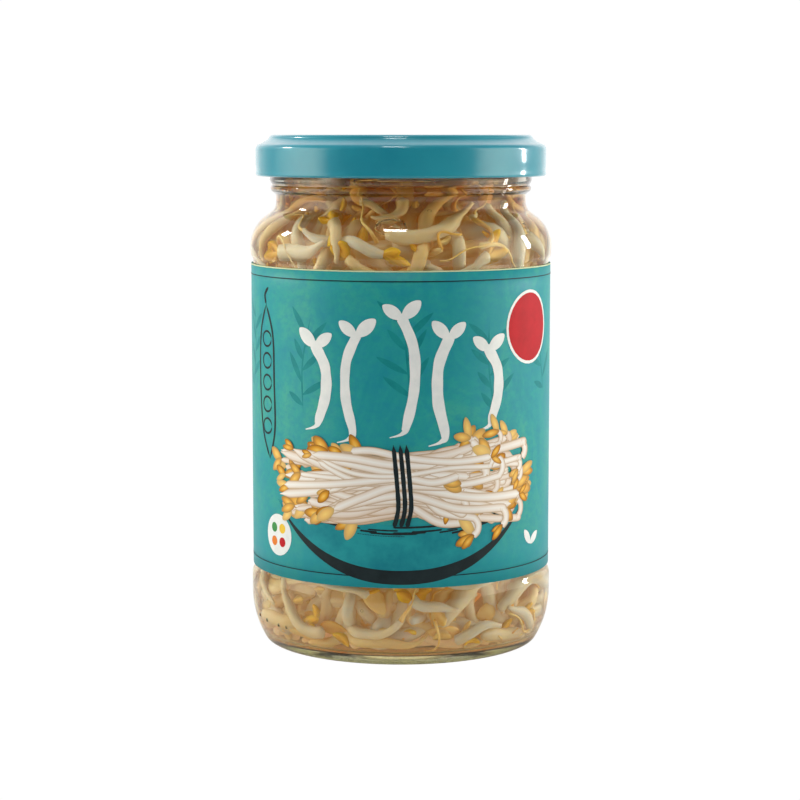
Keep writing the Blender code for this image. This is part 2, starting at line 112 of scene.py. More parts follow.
# The light that comes through the pack from behind
GLOW_COLOUR, FLESH_GLOW, CORE_GLOW, LOW_GLOW = (1.0, 0.50, 0.10), 0.085, 0.26, (0.16, (1.0, 0.70, 0.40))
# The glow fades to this dimmer colour up in the neck: painted shade under the lid
NECK_GLOW = (96.0 * MM, 105.0 * MM, (0.36, 0.12, 0.012))

TURN_STEPS = 144
GLASS_TINTS = [(1.6, (0.36, 0.36, 0.15)), (2.4, (0.84, 0.72, 0.46)), (4.2, (0.94, 0.86, 0.70)), (6.5, (0.955, 0.975, 0.955))]
GLASS_TINTS += [(106.5, (0.955, 0.975, 0.955)), (108.5, (0.96, 0.90, 0.78))]
STIPPLE = (0.5 * MM, 1.6 * MM, 0.35, 0.0)
# The brine turns darker amber towards the neck: painted shade under the lid
BRINE_TINTS = [(90.0, (1.0, 0.96, 0.84)), (99.0, (0.94, 0.88, 0.70)), (106.0, (0.74, 0.52, 0.18))]

# The room by the share of the turn from the camera's side (0) to the back (1), and its two soft boxes
ROOM_LIGHT = [(0.0, 0.14), (0.22, 0.18), (0.36, 0.45), (0.7, 0.45), (0.8, 0.8), (0.88, 1.25), (1.0, 1.1)]
BOX_LIGHT = [(0.0, 0.0), (0.32, 0.0), (0.36, 1.9), (0.40, 3.1), (0.48, 2.9), (0.57, 1.5), (0.66, 0.1), (1.0, 0.0)]
BOX_COLOUR = (1.0, 0.97, 0.80)
BOX_HEIGHT = [(0.0, 0.0), (0.3, 0.0), (0.36, 1.0), (0.7, 1.0), (0.8, 0.0), (1.0, 0.0)]
FLOOR_SIZE = 0.5


def srgb(red, green, blue):
    """A linear colour from 0 to 255 display values."""
    shares = [value / 255 for value in (red, green, blue)]
    return tuple(s / 12.92 if s <= 0.04045 else ((s + 0.055) / 1.055) ** 2.4 for s in shares)


def smooth_step(share):
    share = min(max(share, 0.0), 1.0)
    return share * share * (3 - 2 * share)


# Materials


def new_material(name, **settings):
    """A material, its node tree and its Principled shader with these sockets set."""
    made = bpy.data.materials.new(name)
    made.use_nodes = True
    shader = made.node_tree.nodes["Principled BSDF"]
    for socket, value in settings.items():
        key = socket.replace("_", " ")
        shader.inputs[key].default_value = (*value, 1.0) if isinstance(value, tuple) else value
    return made, made.node_tree, shader


def add_node(tree, kind, inputs=None, **settings):
    """A node with its settings and inputs, each input a value or the socket that feeds it."""
    made = tree.nodes.new(kind)
    for key, value in settings.items():
        setattr(made, key, value)
    for key, value in (inputs or {}).items():
        if isinstance(value, bpy.types.NodeSocket):
            tree.links.new(value, made.inputs[key])
        else:
            made.inputs[key].default_value = value
    return made


def noise(tree, scale, detail=3.0, roughness=0.5, stretch=(1.0, 1.0, 1.0), distortion=0.0):
    """Noise over the piece's own coordinates, in features a metre, stretched along the axes."""
    place = add_node(tree, "ShaderNodeTexCoord").outputs["Object"]
    mapped = add_node(tree, "ShaderNodeMapping", {"Vector": place, "Scale": stretch})
    inputs = {"Vector": mapped.outputs[0], "Scale": scale, "Detail": detail, "Roughness": roughness}
    inputs["Distortion"] = distortion
    return add_node(tree, "ShaderNodeTexNoise", inputs).outputs["Fac"]


def ramp(tree, fac, stops):
    """A colour ramp of (position, colour) stops."""
    made = add_node(tree, "ShaderNodeValToRGB", {"Fac": fac})
    elements = made.color_ramp.elements
    while len(elements) < len(stops):
        elements.new(0.5)
    for element, (position, colour) in zip(elements, stops):
        element.position = position
        element.color = (*colour, 1.0)
    return made.outputs["Color"]


def mix(tree, fac, first, second, blend="MIX"):
    """Two colours mixed, each a colour or a socket."""
    made = add_node(tree, "ShaderNodeMix", data_type="RGBA", blend_type=blend)
    for key, value in ((0, fac), (6, first), (7, second)):
        if isinstance(value, bpy.types.NodeSocket):
            tree.links.new(value, made.inputs[key])
        elif isinstance(value, tuple):
            made.inputs[key].default_value = (*value, 1.0)
        else:
            made.inputs[key].default_value = value
    return made.outputs[2]


def map_range(tree, value, low, high, to_low=0.0, to_high=1.0):
    inputs = {"Value": value, "From Min": low, "From Max": high, "To Min": to_low, "To Max": to_high}
    return add_node(tree, "ShaderNodeMapRange", inputs).outputs["Result"]


def bump(tree, shader, height, strength, distance):
    made = add_node(tree, "ShaderNodeBump", {"Height": height, "Strength": strength, "Distance": distance})
    tree.links.new(made.outputs["Normal"], shader.inputs["Normal"])


def height_of(tree):
    """The height above the floor, from the piece's own coordinates."""
    place = add_node(tree, "ShaderNodeTexCoord").outputs["Object"]
    return add_node(tree, "ShaderNodeSeparateXYZ", {"Vector": place}).outputs["Z"]


def attribute(tree, name):
    return add_node(tree, "ShaderNodeAttribute", attribute_name=name).outputs["Fac"]


def clear_material(name, colour, ior, shadow_colour, wave_scale=0.0, wave=0.0, tints=None, stipple=None):
    """A clear body that bends light and lets the light of lamps through to what is behind it."""
    made, tree, shader = new_material(name, Base_Color=colour, Roughness=0.0, IOR=ior)
    shader.inputs["Transmission Weight"].default_value = 1.0
    if wave:
        bump(tree, shader, noise(tree, wave_scale, 2.0, 0.4, (1.0, 1.0, 0.5)), wave, 0.15 * MM)
    if stipple:
        grain = map_range(tree, noise(tree, 1800.0, 1.0), 0.4, 0.6, 0.5, 1.0)
        low = map_range(tree, height_of(tree), *stipple)
        rough = add_node(tree, "ShaderNodeMath", {0: grain, 1: low}, operation="MULTIPLY").outputs[0]
        tree.links.new(rough, shader.inputs["Roughness"])
    if tints:
        share = map_range(tree, height_of(tree), 0.0, LID_TOP)
        stops = [(height * MM / LID_TOP, other) for height, other in tints]
        tree.links.new(ramp(tree, share, stops), shader.inputs["Base Color"])
    wet = attribute(tree, "wet")
    shine = ramp(tree, wet, [(0.0, (1.0, 1.0, 1.0)), (1.0, (0.0, 0.0, 0.0))])
    tree.links.new(shine, shader.inputs["Specular Tint"])
    path = add_node(tree, "ShaderNodeLightPath")
    passes = add_node(tree, "ShaderNodeMath", operation="MAXIMUM")
    tree.links.new(path.outputs["Is Shadow Ray"], passes.inputs[0])
    tree.links.new(path.outputs["Is Diffuse Ray"], passes.inputs[1])
    through = add_node(tree, "ShaderNodeBsdfTransparent", {"Color": (*shadow_colour, 1.0)})
    join = add_node(tree, "ShaderNodeMixShader", {"Fac": passes.outputs[0]})
    tree.links.new(shader.outputs[0], join.inputs[1])
    tree.links.new(through.outputs[0], join.inputs[2])
    tree.links.new(join.outputs[0], tree.nodes["Material Output"].inputs["Surface"])
    return made


def lid_material():
    """Teal enamel on sheet steel: glossy, with a fine orange peel and slight rubbing."""
    made, tree, shader = new_material("lid_enamel", Roughness=0.35, Coat_Weight=0.8, Coat_Roughness=0.09)
    shader.inputs["Specular IOR Level"].default_value = 0.2
    patches = noise(tree, 60.0, 4.0, 0.6)
    colour = ramp(tree, patches, [(0.3, srgb(20, 138, 162)), (0.7, srgb(34, 152, 172))])
    tree.links.new(colour, shader.inputs["Base Color"])
    tree.links.new(map_range(tree, noise(tree, 300.0), 0.4, 0.75, 0.3, 0.38), shader.inputs["Roughness"])
    bump(tree, shader, noise(tree, 900.0, 2.0), 0.05, 0.03 * MM)
    return made


def seal_material():
    made, tree, shader = new_material("seal_compound", Roughness=0.6)
    colour = ramp(tree, noise(tree, 300.0), [(0.3, srgb(222, 216, 200)), (0.7, srgb(234, 230, 218))])
    tree.links.new(colour, shader.inputs["Base Color"])
    bump(tree, shader, noise(tree, 900.0), 0.2, 0.1 * MM)
    return made


def label_material():
    """Satin paper printed teal: brushed darker and greener patches over it, and the paper's own fibre."""
    made, tree, shader = new_material("label_paper", Roughness=0.5, Coat_Weight=0.15, Coat_Roughness=0.4)
    shader.inputs["Specular IOR Level"].default_value = PRINT_SHINE
    wide = noise(tree, 60.0, 6.0, 0.66, (1.0, 1.0, 0.7), 0.9)
    fine = noise(tree, 520.0, 4.0, 0.7, (1.0, 1.0, 1.3), 0.2)
    ground = ramp(tree, wide, [(0.3, srgb(20, 142, 154)), (0.5, srgb(38, 158, 156)), (0.72, srgb(66, 170, 148))])
    brushed = mix(tree, map_range(tree, fine, 0.4, 0.66, 0.0, 0.5), ground, srgb(24, 136, 164))
    low = map_range(tree, height_of(tree), LABEL_LOW, LABEL_LOW + 22 * MM, 0.7, 0.0)
    shaded = mix(tree, low, brushed, srgb(26, 144, 156))
    tree.links.new(shaded, shader.inputs["Base Color"])
    bump(tree, shader, noise(tree, 2600.0, 3.0, 0.6), 0.1, 0.03 * MM)
    return made


def ink_material(name, dark, light, scale=260.0, roughness=0.5):
    """One printed colour, slightly uneven as ink on paper is."""
    made, tree, shader = new_material(name, Roughness=roughness, Coat_Weight=0.05, Coat_Roughness=0.4)
    shader.inputs["Specular IOR Level"].default_value = PRINT_SHINE
    tree.links.new(ramp(tree, noise(tree, scale, 4.0, 0.65), [(0.32, dark), (0.62, light)]), shader.inputs["Base Color"])
    bump(tree, shader, noise(tree, 2600.0, 3.0, 0.6), 0.1, 0.03 * MM)
    return made


def drawn_material():
    """The printed sprouts: their colour goes by the strand, from its pale middle to its shaded edges."""
    made, tree, shader = new_material("drawn_sprouts", Roughness=0.5, Coat_Weight=0.05, Coat_Roughness=0.4)
    shader.inputs["Specular IOR Level"].default_value = PRINT_SHINE
    edge = attribute(tree, "across")
    pale = ramp(tree, edge, [(0.0, srgb(252, 248, 244)), (0.6, srgb(240, 228, 216)), (1.0, srgb(196, 164, 128))])
    gold = ramp(tree, edge, [(0.0, srgb(248, 206, 96)), (0.55, srgb(226, 156, 34)), (1.0, srgb(150, 88, 18))])
    kind = mix(tree, attribute(tree, "gold"), pale, gold)
    tone = map_range(tree, attribute(tree, "tone"), 0.0, 1.0, 0.0, 0.6)
    toned = mix(tree, tone, kind, mix(tree, attribute(tree, "gold"), srgb(208, 158, 108), srgb(250, 222, 148)))
    tree.links.new(toned, shader.inputs["Base Color"])
    bump(tree, shader, noise(tree, 2600.0, 3.0, 0.6), 0.1, 0.03 * MM)
    return made


def sprout_material(name, pale, deep, dark, streaks, odd=None, glow=FLESH_GLOW, glow_colour=GLOW_COLOUR):
    """Wet sprout flesh streaked along its fibres, with painted shade: paler at the glass, amber to brown where it lies
    deeper.

    A faint warm glow stands for the light that comes through the pack and the brine from behind.
    """
    made, tree, shader = new_material(name, Roughness=0.5, IOR=1.42)
    # Dimmer glow up in the neck: painted shade under the lid
    up = map_range(tree, height_of(tree), *NECK_GLOW[:2])
    tree.links.new(ramp(tree, up, [(0.0, glow_colour), (1.0, NECK_GLOW[2])]), shader.inputs["Emission Color"])
    shader.inputs["Emission Strength"].default_value = glow
    shader.inputs["Subsurface Weight"].default_value = 0.6
    shader.inputs["Subsurface Radius"].default_value = (1.0, 0.65, 0.35)
    shader.inputs["Subsurface Scale"].default_value = 2.2 * MM
    tone = attribute(tree, "tone")
    varied = ramp(tree, tone, [(0.0, pale), (0.7, deep), (0.85, odd or deep)])
    grain = map_range(tree, noise(tree, streaks, 4.0, 0.65, (1.0, 1.0, 1.0), 0.8), 0.42, 0.72, 0.0, 0.5)
    marked = mix(tree, grain, varied, deep)
    marked = mix(tree, map_range(tree, attribute(tree, "fibre"), 0.5, 1.0, 0.0, 0.4), marked, deep)
    # The depth values carry the painted shade, mixing the flesh's own colours towards the shaded ones
    depth = map_range(tree, attribute(tree, "depth"), 0.12, 1.05)
    shade = ramp(tree, tone, [(0.1, deep), (0.9, dark)])
    tree.links.new(mix(tree, depth, marked, shade), shader.inputs["Base Color"])
    bump(tree, shader, noise(tree, 1500.0, 2.0, 0.5), 0.25, 0.1 * MM)
    return made


# Mesh building


class Body:
    """Vertices and faces that become one mesh, with values on the vertices and a material on each face."""

    def __init__(self, *value_names):
        self.points, self.faces, self.slots = [], [], []
        self.values = {name: [] for name in value_names}

    def add(self, points, faces, slot=0, **values):
        start = len(self.points)
        self.points.extend(tuple(p) for p in points)
        self.faces.extend(tuple(start + i for i in face) for face in faces)
        self.slots.extend([slot] * len(faces))
        for name, kept in self.values.items():
            value = values.get(name, 0.0)
            kept.extend(value if isinstance(value, list) else [value] * len(points))

    def make(self, name, materials, outward=True, smooth=True):
        mesh = bpy.data.meshes.new(name)
        mesh.from_pydata(self.points, [], self.faces)
        for finish in materials:
            mesh.materials.append(finish)
        mesh.polygons.foreach_set("material_index", self.slots)
        for value_name, kept in self.values.items():
            made = mesh.attributes.new(value_name, "FLOAT", "POINT")
            made.data.foreach_set("value", kept)
        if outward:
            work = bmesh.new()
            work.from_mesh(mesh)
            bmesh.ops.recalc_face_normals(work, faces=work.faces)
            work.to_mesh(mesh)
            work.free()
        mesh.polygons.foreach_set("use_smooth", [smooth] * len(mesh.polygons))
        obj = bpy.data.objects.new(name, mesh)
        bpy.context.scene.collection.objects.link(obj)
        return obj


def grid_faces(rows, columns, wrapped=False):
    """Faces of a grid of points listed row by row; wrapped joins the last column to the first."""
    faces = []
    for i in range(rows - 1):
        for j in range(columns if wrapped else columns - 1):
            k = (j + 1) % columns
            faces.append((i * columns + j, i * columns + k, (i + 1) * columns + k, (i + 1) * columns + j))
    return faces


def tube_faces(rings, sides):
    """A tube's faces with both ends closed by a point, which are listed last."""
    faces = grid_faces(rings, sides, wrapped=True)
    first, last = rings * sides, rings * sides + 1
    for j in range(sides):
        k = (j + 1) % sides
        faces.append((first, k, j))
        faces.append((last, (rings - 1) * sides + j, (rings - 1) * sides + k))
    return faces


def arc(centre, radius, start_deg, end_deg, steps):
    """(radius, height) points along an arc, both ends included."""
    turns = [math.radians(start_deg + (end_deg - start_deg) * i / steps) for i in range(steps + 1)]
    return [(centre[0] + radius * math.cos(t), centre[1] + radius * math.sin(t)) for t in turns]


def turned(name, profile, finish, steps=TURN_STEPS, ring=False, wet=None):
    """A turned body. A profile point on the axis becomes one vertex; ring closes the profile on itself."""
    points, rows, wetness = [], [], []
    for index, (r, z) in enumerate(profile):
        count = 1 if r < 1e-7 else steps
        wetness += [wet[index] if wet else 0.0] * count
        if count == 1:
            rows.append([len(points)] * steps)
            points.append((0.0, 0.0, z))
            continue
        rows.append(list(range(len(points), len(points) + steps)))
        turns = [2 * math.pi * i / steps for i in range(steps)]
        points.extend((r * math.cos(t), r * math.sin(t), z) for t in turns)
    faces = []
    pairs = list(zip(rows, rows[1:])) + ([(rows[-1], rows[0])] if ring else [])
    for upper, lower in pairs:
        for j in range(steps):
            k = (j + 1) % steps
            corners = (upper[j], upper[k], lower[k], lower[j])
            faces.append(tuple(dict.fromkeys(corners)))
    body = Body("wet")
    body.add(points, faces, wet=wetness)
    return body.make(name, [finish])


def dress(obj, body, slot, *replaced):
    """The piece rides on a body and stands for these CAD nodes; the slot is not used."""
    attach(obj, body)
    if replaced:
        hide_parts(*replaced)
    return obj


# The glass


def inner_wall(inset, steps):
    """The inner wall from the start of the heel to the top of the neck, moved in by inset."""
    heel_centre = (INSIDE_RADIUS - INSIDE_HEEL, INSIDE_FLOOR + INSIDE_HEEL)
    points = arc(heel_centre, INSIDE_HEEL - inset, -90, 0, steps)
    points += arc(SHOULDER_CENTRE, INSIDE_SHOULDER - inset, 0, SHOULDER_DEG, steps)
    points += arc(FILLET_CENTRE, INSIDE_FILLET + inset, 180 + SHOULDER_DEG, 180, steps)[1:]
    return points


def floor_height(radius):
    return INSIDE_FLOOR + INSIDE_CROWN * (1 - (radius / (INSIDE_RADIUS - INSIDE_HEEL)) ** 2)


def floor_points(inset, steps):
    """The inner floor from the axis to the start of the heel."""
    reach = INSIDE_RADIUS - INSIDE_HEEL
    radii = [reach * i / steps for i in range(steps)]
    return [(r, floor_height(r) + inset) for r in radii]


def jar_profile():
    """Up the inside from the middle of the floor, over the rim and down the outside to the push-up."""
    points = floor_points(0.0, 6) + inner_wall(0.0, 12) + [(BORE_RADIUS - 0.3 * MM, BORE_FLARE)]
    points += arc((BORE_RADIUS + RIM_INNER, RIM_HEIGHT - RIM_INNER), RIM_INNER, 180, 90, 5)
    points += arc((FINISH_RADIUS - RIM_OUTER, RIM_HEIGHT - RIM_OUTER), RIM_OUTER, 90, 0, 6)
    points.append((FINISH_RADIUS, FINISH_LOW + 0.4 * MM))
    points.append((FINISH_RADIUS - 0.15 * MM, FINISH_LOW))
    points += arc(BEAD_CENTRE, BEAD_ARC, 55, -70, 10)
    points.append((FILLET_CENTRE[0] - FILLET_ARC, NECK_TOP))
    points += arc(FILLET_CENTRE, FILLET_ARC, 180, 180 + SHOULDER_DEG, 8)
    points += arc(SHOULDER_CENTRE, SHOULDER_ARC, SHOULDER_DEG, 0, 14)[1:]
    points += [
        (JAR_RADIUS - PANEL_EDGE_DEPTH / 3, PANEL_HIGH + 1.7 * PANEL_EDGE),
        (JAR_RADIUS - PANEL_EDGE_DEPTH, PANEL_HIGH + PANEL_EDGE),
        (PANEL_RADIUS + PANEL_EDGE_DEPTH / 3, PANEL_HIGH + 0.3 * PANEL_EDGE),
        (PANEL_RADIUS, PANEL_HIGH - 0.3 * PANEL_EDGE),
        (PANEL_RADIUS, PANEL_LOW + 0.3 * PANEL_EDGE),
        (PANEL_RADIUS + PANEL_EDGE_DEPTH / 3, PANEL_LOW - 0.3 * PANEL_EDGE),
        (JAR_RADIUS - PANEL_EDGE_DEPTH, PANEL_LOW - PANEL_EDGE),
        (JAR_RADIUS - PANEL_EDGE_DEPTH / 3, PANEL_LOW - 1.7 * PANEL_EDGE),
        (JAR_RADIUS, PANEL_LOW - PANEL_EDGE - PANEL_ROUNDING),
    ]
    slope = math.degrees(math.asin((HEEL_TOP - FOOT_ARC) / (HEEL_ARC - FOOT_ARC)))
    heel_centre = (JAR_RADIUS - HEEL_ARC, HEEL_TOP)
    foot_radius = heel_centre[0] + (HEEL_ARC - FOOT_ARC) * math.cos(math.radians(slope))
    points += arc(heel_centre, HEEL_ARC, 0, -slope, 14)
    points += arc((foot_radius, FOOT_ARC), FOOT_ARC, -slope, -90, 6)[1:]
    points.append((FOOT_INNER, 0.0))
    for share in (1.0, 0.96, 0.8, 0.6, 0.4, 0.2, 0.0):
        points.append((PUSH_UP_RADIUS * share, PUSH_UP_HEIGHT - (PUSH_UP_HEIGHT - PUSH_UP_EDGE) * share**2))
    return points


def add_dot(body, turn_deg, height):
    """A raised dot on the outside of the heel, as the mould leaves."""
    rows, columns = 7, 12
    radius = JAR_RADIUS - HEEL_ARC + math.sqrt(HEEL_ARC**2 - (HEEL_TOP - height) ** 2)
    turn = math.radians(turn_deg)
    out = Vector((math.sin(turn), -math.cos(turn), 0.0))
    side = Vector((math.cos(turn), math.sin(turn), 0.0))
    centre = out * radius + Vector((0.0, 0.0, height))
    points = []
    for i in range(1, rows):
        lean = math.pi * i / rows
        for j in range(columns):
            around = 2 * math.pi * j / columns
            across = DOT[0] * math.sin(lean) * math.cos(around)
            upright = DOT[1] * math.sin(lean) * math.sin(around)
            points.append(centre + side * across + Vector((0.0, 0.0, upright)) + out * DOT[2] * math.cos(lean))
    points += [centre + out * DOT[2], centre - out * DOT[2]]
    body.add(points, tube_faces(rows - 1, columns))


def make_glass():
    clear, shadow = (0.955, 0.975, 0.955), (0.96, 0.97, 0.96)
    glass = clear_material("jar_glass", clear, 1.5, shadow, 55.0, 0.12, GLASS_TINTS, STIPPLE)
    profile = jar_profile()
    inside = len(floor_points(0.0, 6) + inner_wall(0.0, 12))
    jar = turned("jar_glass_body", profile, glass, wet=[float(i < inside) for i in range(len(profile))])
    ramps = Body()
    rings, sides = 26, 10
    for lug in range(LUG_COUNT):
        points = []
        for i in range(rings):
            share = i / (rings - 1)
            turn_deg = THREAD_START + (THREAD_END - THREAD_START) * share
            turn = math.radians(turn_deg + 360 * lug / LUG_COUNT)
            fade = min(1.0, 5.0 * min(share, 1 - share) + 0.35)
            reach, height = THREAD_RADIUS - (1 - fade) * MM, THREAD_HEIGHT + THREAD_LEAD * turn_deg / 360
            for j in range(sides):
                around = 2 * math.pi * j / sides
                r = reach + THREAD_BEAD * fade * math.cos(around)
                points.append((r * math.cos(turn), r * math.sin(turn), height + THREAD_BEAD * fade * math.sin(around)))
        ends = [np.mean(points[:sides], axis=0), np.mean(points[-sides:], axis=0)]
        ramps.add(points + ends, tube_faces(rings, sides))
    for turn_deg, height in MOULD_DOTS:
        add_dot(ramps, turn_deg, height)
    threads = ramps.make("thread_ramps", [glass])
    union = jar.modifiers.new("Threads", "BOOLEAN")
    union.operation, union.object = "UNION", threads
    graph = bpy.context.evaluated_depsgraph_get()
    fused = bpy.data.meshes.new_from_object(jar.evaluated_get(graph))
    jar.modifiers.clear()
    jar.data = fused
    bpy.data.objects.remove(threads)
    return dress(jar, "jar", "jar_glass", "glass_jar")


def make_brine():
    """The liquid, slightly into the glass all round so that no air shows between them, with a curved surface."""
    pale, shadow = (1.0, 0.96, 0.84), (1.0, 0.98, 0.92)
    # Tinted darker amber towards the neck: painted shade under the lid
    liquid = clear_material("brine_liquid", pale, 1.34, shadow, tints=BRINE_TINTS)
    inset = -BRINE_INTO_GLASS
    profile = [(0.0, BRINE_HEIGHT)]
    wall = BORE_RADIUS - 0.3 * MM - inset
    for step in range(9, -1, -1):
        away = 0.6 * MM * step
        profile.append((wall - away, BRINE_HEIGHT + MENISCUS * math.exp(-away / MENISCUS_REACH)))
    profile += inner_wall(inset, 10)[::-1] + floor_points(inset, 4)[::-1]
    liquid_body = turned("brine_body", profile, liquid, 96, wet=[float(i > 10) for i in range(len(profile))])
    dress(liquid_body, "jar", "brine", "brine")
    air = clear_material("air_bubble", (1.0, 1.0, 1.0), 1 / 1.34, (1.0, 1.0, 1.0))
    bubbles = Body()
    draw = random.Random(SEED)
    shapes = [(-2.0, 110.2, 9.0, 1.25, 1.3), (-2.6, 100.4, 3.6, 2.2, 1.2), (36.0, 98.9, 1.0, 1.0, 0.9)]
    for _ in range(26):
        size = draw.uniform(0.15, 0.55)
        shapes.append((draw.uniform(-100, 100), draw.uniform(92, 109), size, size, size))
    for _ in range(12):
        size = draw.uniform(0.15, 0.4)
        shapes.append((draw.uniform(-100, 100), draw.uniform(9, 18), size, size, size))
    for along, height, wide, tall, deep in shapes:
        add_bubble(bubbles, along * MM, height * MM, wide * MM, tall * MM, deep * MM)
    dress(bubbles.make("brine_bubbles", [air]), "jar", "brine")


def add_bubble(body, along, height, wide, tall, deep):
    """An air bubble flattened against the glass, its sizes half its own."""
    rows, columns = 12, 20
    turn = front_turn(along)
    points = []
    wall = WALL.place(WALL.at_height(height), 0.05 * MM + deep)
    centre, out = wall_vectors(turn, wall)
    side = Vector((-math.sin(turn), math.cos(turn), 0.0))
    up = out.cross(side)
    for i in range(1, rows):
        lean = math.pi * i / rows
        for j in range(columns):
            around = 2 * math.pi * j / columns
            a, b, c = math.sin(lean) * math.cos(around), math.sin(lean) * math.sin(around), math.cos(lean)
            bent = wide * wide * a * a / (2 * INSIDE_RADIUS)
            points.append(centre + side * wide * a + up * tall * b + out * (deep * c - bent))
    points += [centre + out * deep, centre - out * deep]
    body.add(points, tube_faces(rows - 1, columns))


# The wall as an unrolled sheet, on which sprouts and bubbles lie


class Wall:
    """The jar's inner wall by its length from the heel up: radius, height and the profile's outward normal."""

    def __init__(self):
        points = inner_wall(0.0, 24) + [(27.4 * MM, 110.8 * MM)]
        self.points = np.array(points)
        steps = np.hypot(*np.diff(self.points, axis=0).T)
        self.lengths = np.concatenate([[0.0], np.cumsum(steps)])
        ahead = np.gradient(self.points, axis=0)
        ahead /= np.hypot(*ahead.T)[:, None]
        self.normals = np.stack([ahead[:, 1], -ahead[:, 0]], axis=1)

    def at_height(self, height):
        return float(np.interp(height, self.points[:, 1], self.lengths))

    def place(self, length, inset):
        """((radius, height), (normal's two parts)) at a length up the wall, moved in."""
        r, z = (float(np.interp(length, self.lengths, self.points[:, k])) for k in (0, 1))
        n, m = (float(np.interp(length, self.lengths, self.normals[:, k])) for k in (0, 1))
        size = math.hypot(n, m)
        n, m = n / size, m / size
        return (r - inset * n, z - inset * m), (n, m)


WALL = Wall()


def front_turn(along):
    """The turn about the axis of a length along the wall from the front's middle, positive to the right."""
    return -math.pi / 2 + along / INSIDE_RADIUS


def wall_vectors(turn, place):
    (r, z), (n, m) = place
    centre = Vector((r * math.cos(turn), r * math.sin(turn), z))
    return centre, Vector((n * math.cos(turn), n * math.sin(turn), m))


def on_wall(along, up, inset):
    """The point and outward normal at a place on the unrolled wall."""
    return wall_vectors(front_turn(along), WALL.place(up, inset))


def on_floor(x, y, inset):
    """The point and the normal, which points down, at a place on the floor."""
    z = floor_height(min(math.hypot(x, y), INSIDE_RADIUS - INSIDE_HEEL)) + inset
    return Vector((x, y, z)), Vector((0.0, 0.0, -1.0))


# The sprouts


class Pile:
    """Strands laid one after another on a sheet: each lies under those laid before it wherever they cross."""

    def __init__(self, place):
        self.place = place
        self.laid = np.zeros((0, 4))

    def lay(self, track, radii, least):
        """How deep each point of a track has to lie, kept smooth along it."""
        depths = np.array([least + r for r in radii])
        if len(self.laid):
            for i, (a, b) in enumerate(track):
                apart = np.hypot(self.laid[:, 0] - a, self.laid[:, 1] - b)
                near = apart < self.laid[:, 3] + radii[i]
                if near.any():
                    rise = np.sqrt((self.laid[near, 3] + radii[i]) ** 2 - apart[near] ** 2)
                    depths[i] = max(depths[i], (self.laid[near, 2] + rise).max())
        eased = depths.copy()
        for _ in range(6):
            padded = np.concatenate([eased[:1], eased, eased[-1:]])
            eased = np.maximum((padded[:-2] + 2 * eased + padded[2:]) / 4, depths * 0.9 + eased * 0.1)
        rows = np.column_stack([np.array(track), eased, np.array(radii)])
        return eased, rows

    def keep(self, rows):
        self.laid = np.vstack([self.laid, rows])


def track_of(draw, start, heading, length, bend, wave, steps):
    """Points of a curve on the sheet, whose heading turns evenly with a slow wave added."""
    a, b = start
    points = [start]
    phase = draw.uniform(0, 2 * math.pi)
    for i in range(steps):
        share = (i + 0.5) / steps
        angle = heading + bend * (share - 0.5) + wave * math.sin(2 * math.pi * share * 1.3 + phase)
        a += length / steps * math.cos(angle)
        b += length / steps * math.sin(angle)
        points.append((a, b))
    return points


def fit_between(track, low, high):
    """A track moved, and squeezed if it has to be, so that it lies between two heights."""
    ups = [b for _, b in track]
    least, most = min(ups), max(ups)
    squeeze = min(1.0, (high - low) / max(most - least, 1e-6))
    shift = min(max(0.0, low - least * squeeze), high - most * squeeze)
    if squeeze == 1.0 and low <= least and most <= high:
        return track
    return [(a, b * squeeze + shift) for a, b in track]


def painted_shade(depth, height):
    """How much painted shade a place takes: more the deeper it lies in the pack and up in the neck under the lid, less
    near the floor.
    """
    pale = LOW_PALE if height < SHOWN_LOW + LOW_BAND else 1.0
    return min(1.0, pale * depth / DEEPEST + NECK_SHADE * smooth_step((height - NECK_FROM) / NECK_REACH))


def add_strand(body, draw, place, track, depths, radii, sides, slot, tone):
    """A round strand along a track, its ends rounded off or cut."""
    centres, normals = zip(*(place(a, b, d) for (a, b), d in zip(track, depths)))
    rings = len(track)
    points, deep, fibre = [], [], []
    streaks = [draw.random() for _ in range(sides)]
    for i in range(rings):
        ahead = (centres[min(i + 1, rings - 1)] - centres[max(i - 1, 0)]).normalized()
        across = ahead.cross(normals[i]).normalized()
        out = across.cross(ahead)
        for j in range(sides):
            around = 2 * math.pi * j / sides
            points.append(centres[i] + (across * math.cos(around) + out * math.sin(around)) * radii[i])
            deep.append(painted_shade(depths[i], centres[i].z))
            fibre.append(streaks[j])
    for end, inner in ((0, 1), (rings - 1, rings - 2)):
        reach = radii[end] * draw.choice((0.1, 0.45, 0.7))
        points.append(centres[end] + (centres[end] - centres[inner]).normalized() * reach)
        deep.append(painted_shade(depths[end], centres[end].z))
        fibre.append(0.5)
    body.add(points, tube_faces(rings, sides), slot, depth=deep, tone=tone, fibre=fibre)


def add_seed_leaf(body, centre, ahead, out, sizes, bend, slot, tone, depth):
    """Half a split bean: domed on one face, nearly flat on the other, curved along its length."""
    length, width, thick = sizes
    across = ahead.cross(out).normalized()
    rows, columns = 10, 14
    points = []
    for i in range(1, rows):
        along = -math.cos(math.pi * i / rows)
        girth = math.sqrt(max(0.0, 1 - along * along)) * (1 - 0.18 * along)
        for j in range(columns):
            around = 2 * math.pi * j / columns
            a, b = math.cos(around), math.sin(around)
            dome = b if b > 0 else 0.35 * b - 0.12 * b * (1 - abs(a))
            lift = thick * girth * dome - bend * along * along
            points.append(centre + ahead * length * along + across * width * girth * a + out * lift)
    points += [centre - ahead * length - out * bend, centre + ahead * length - out * bend]
    body.add(points, tube_faces(rows - 1, columns), slot, depth=depth, tone=tone)


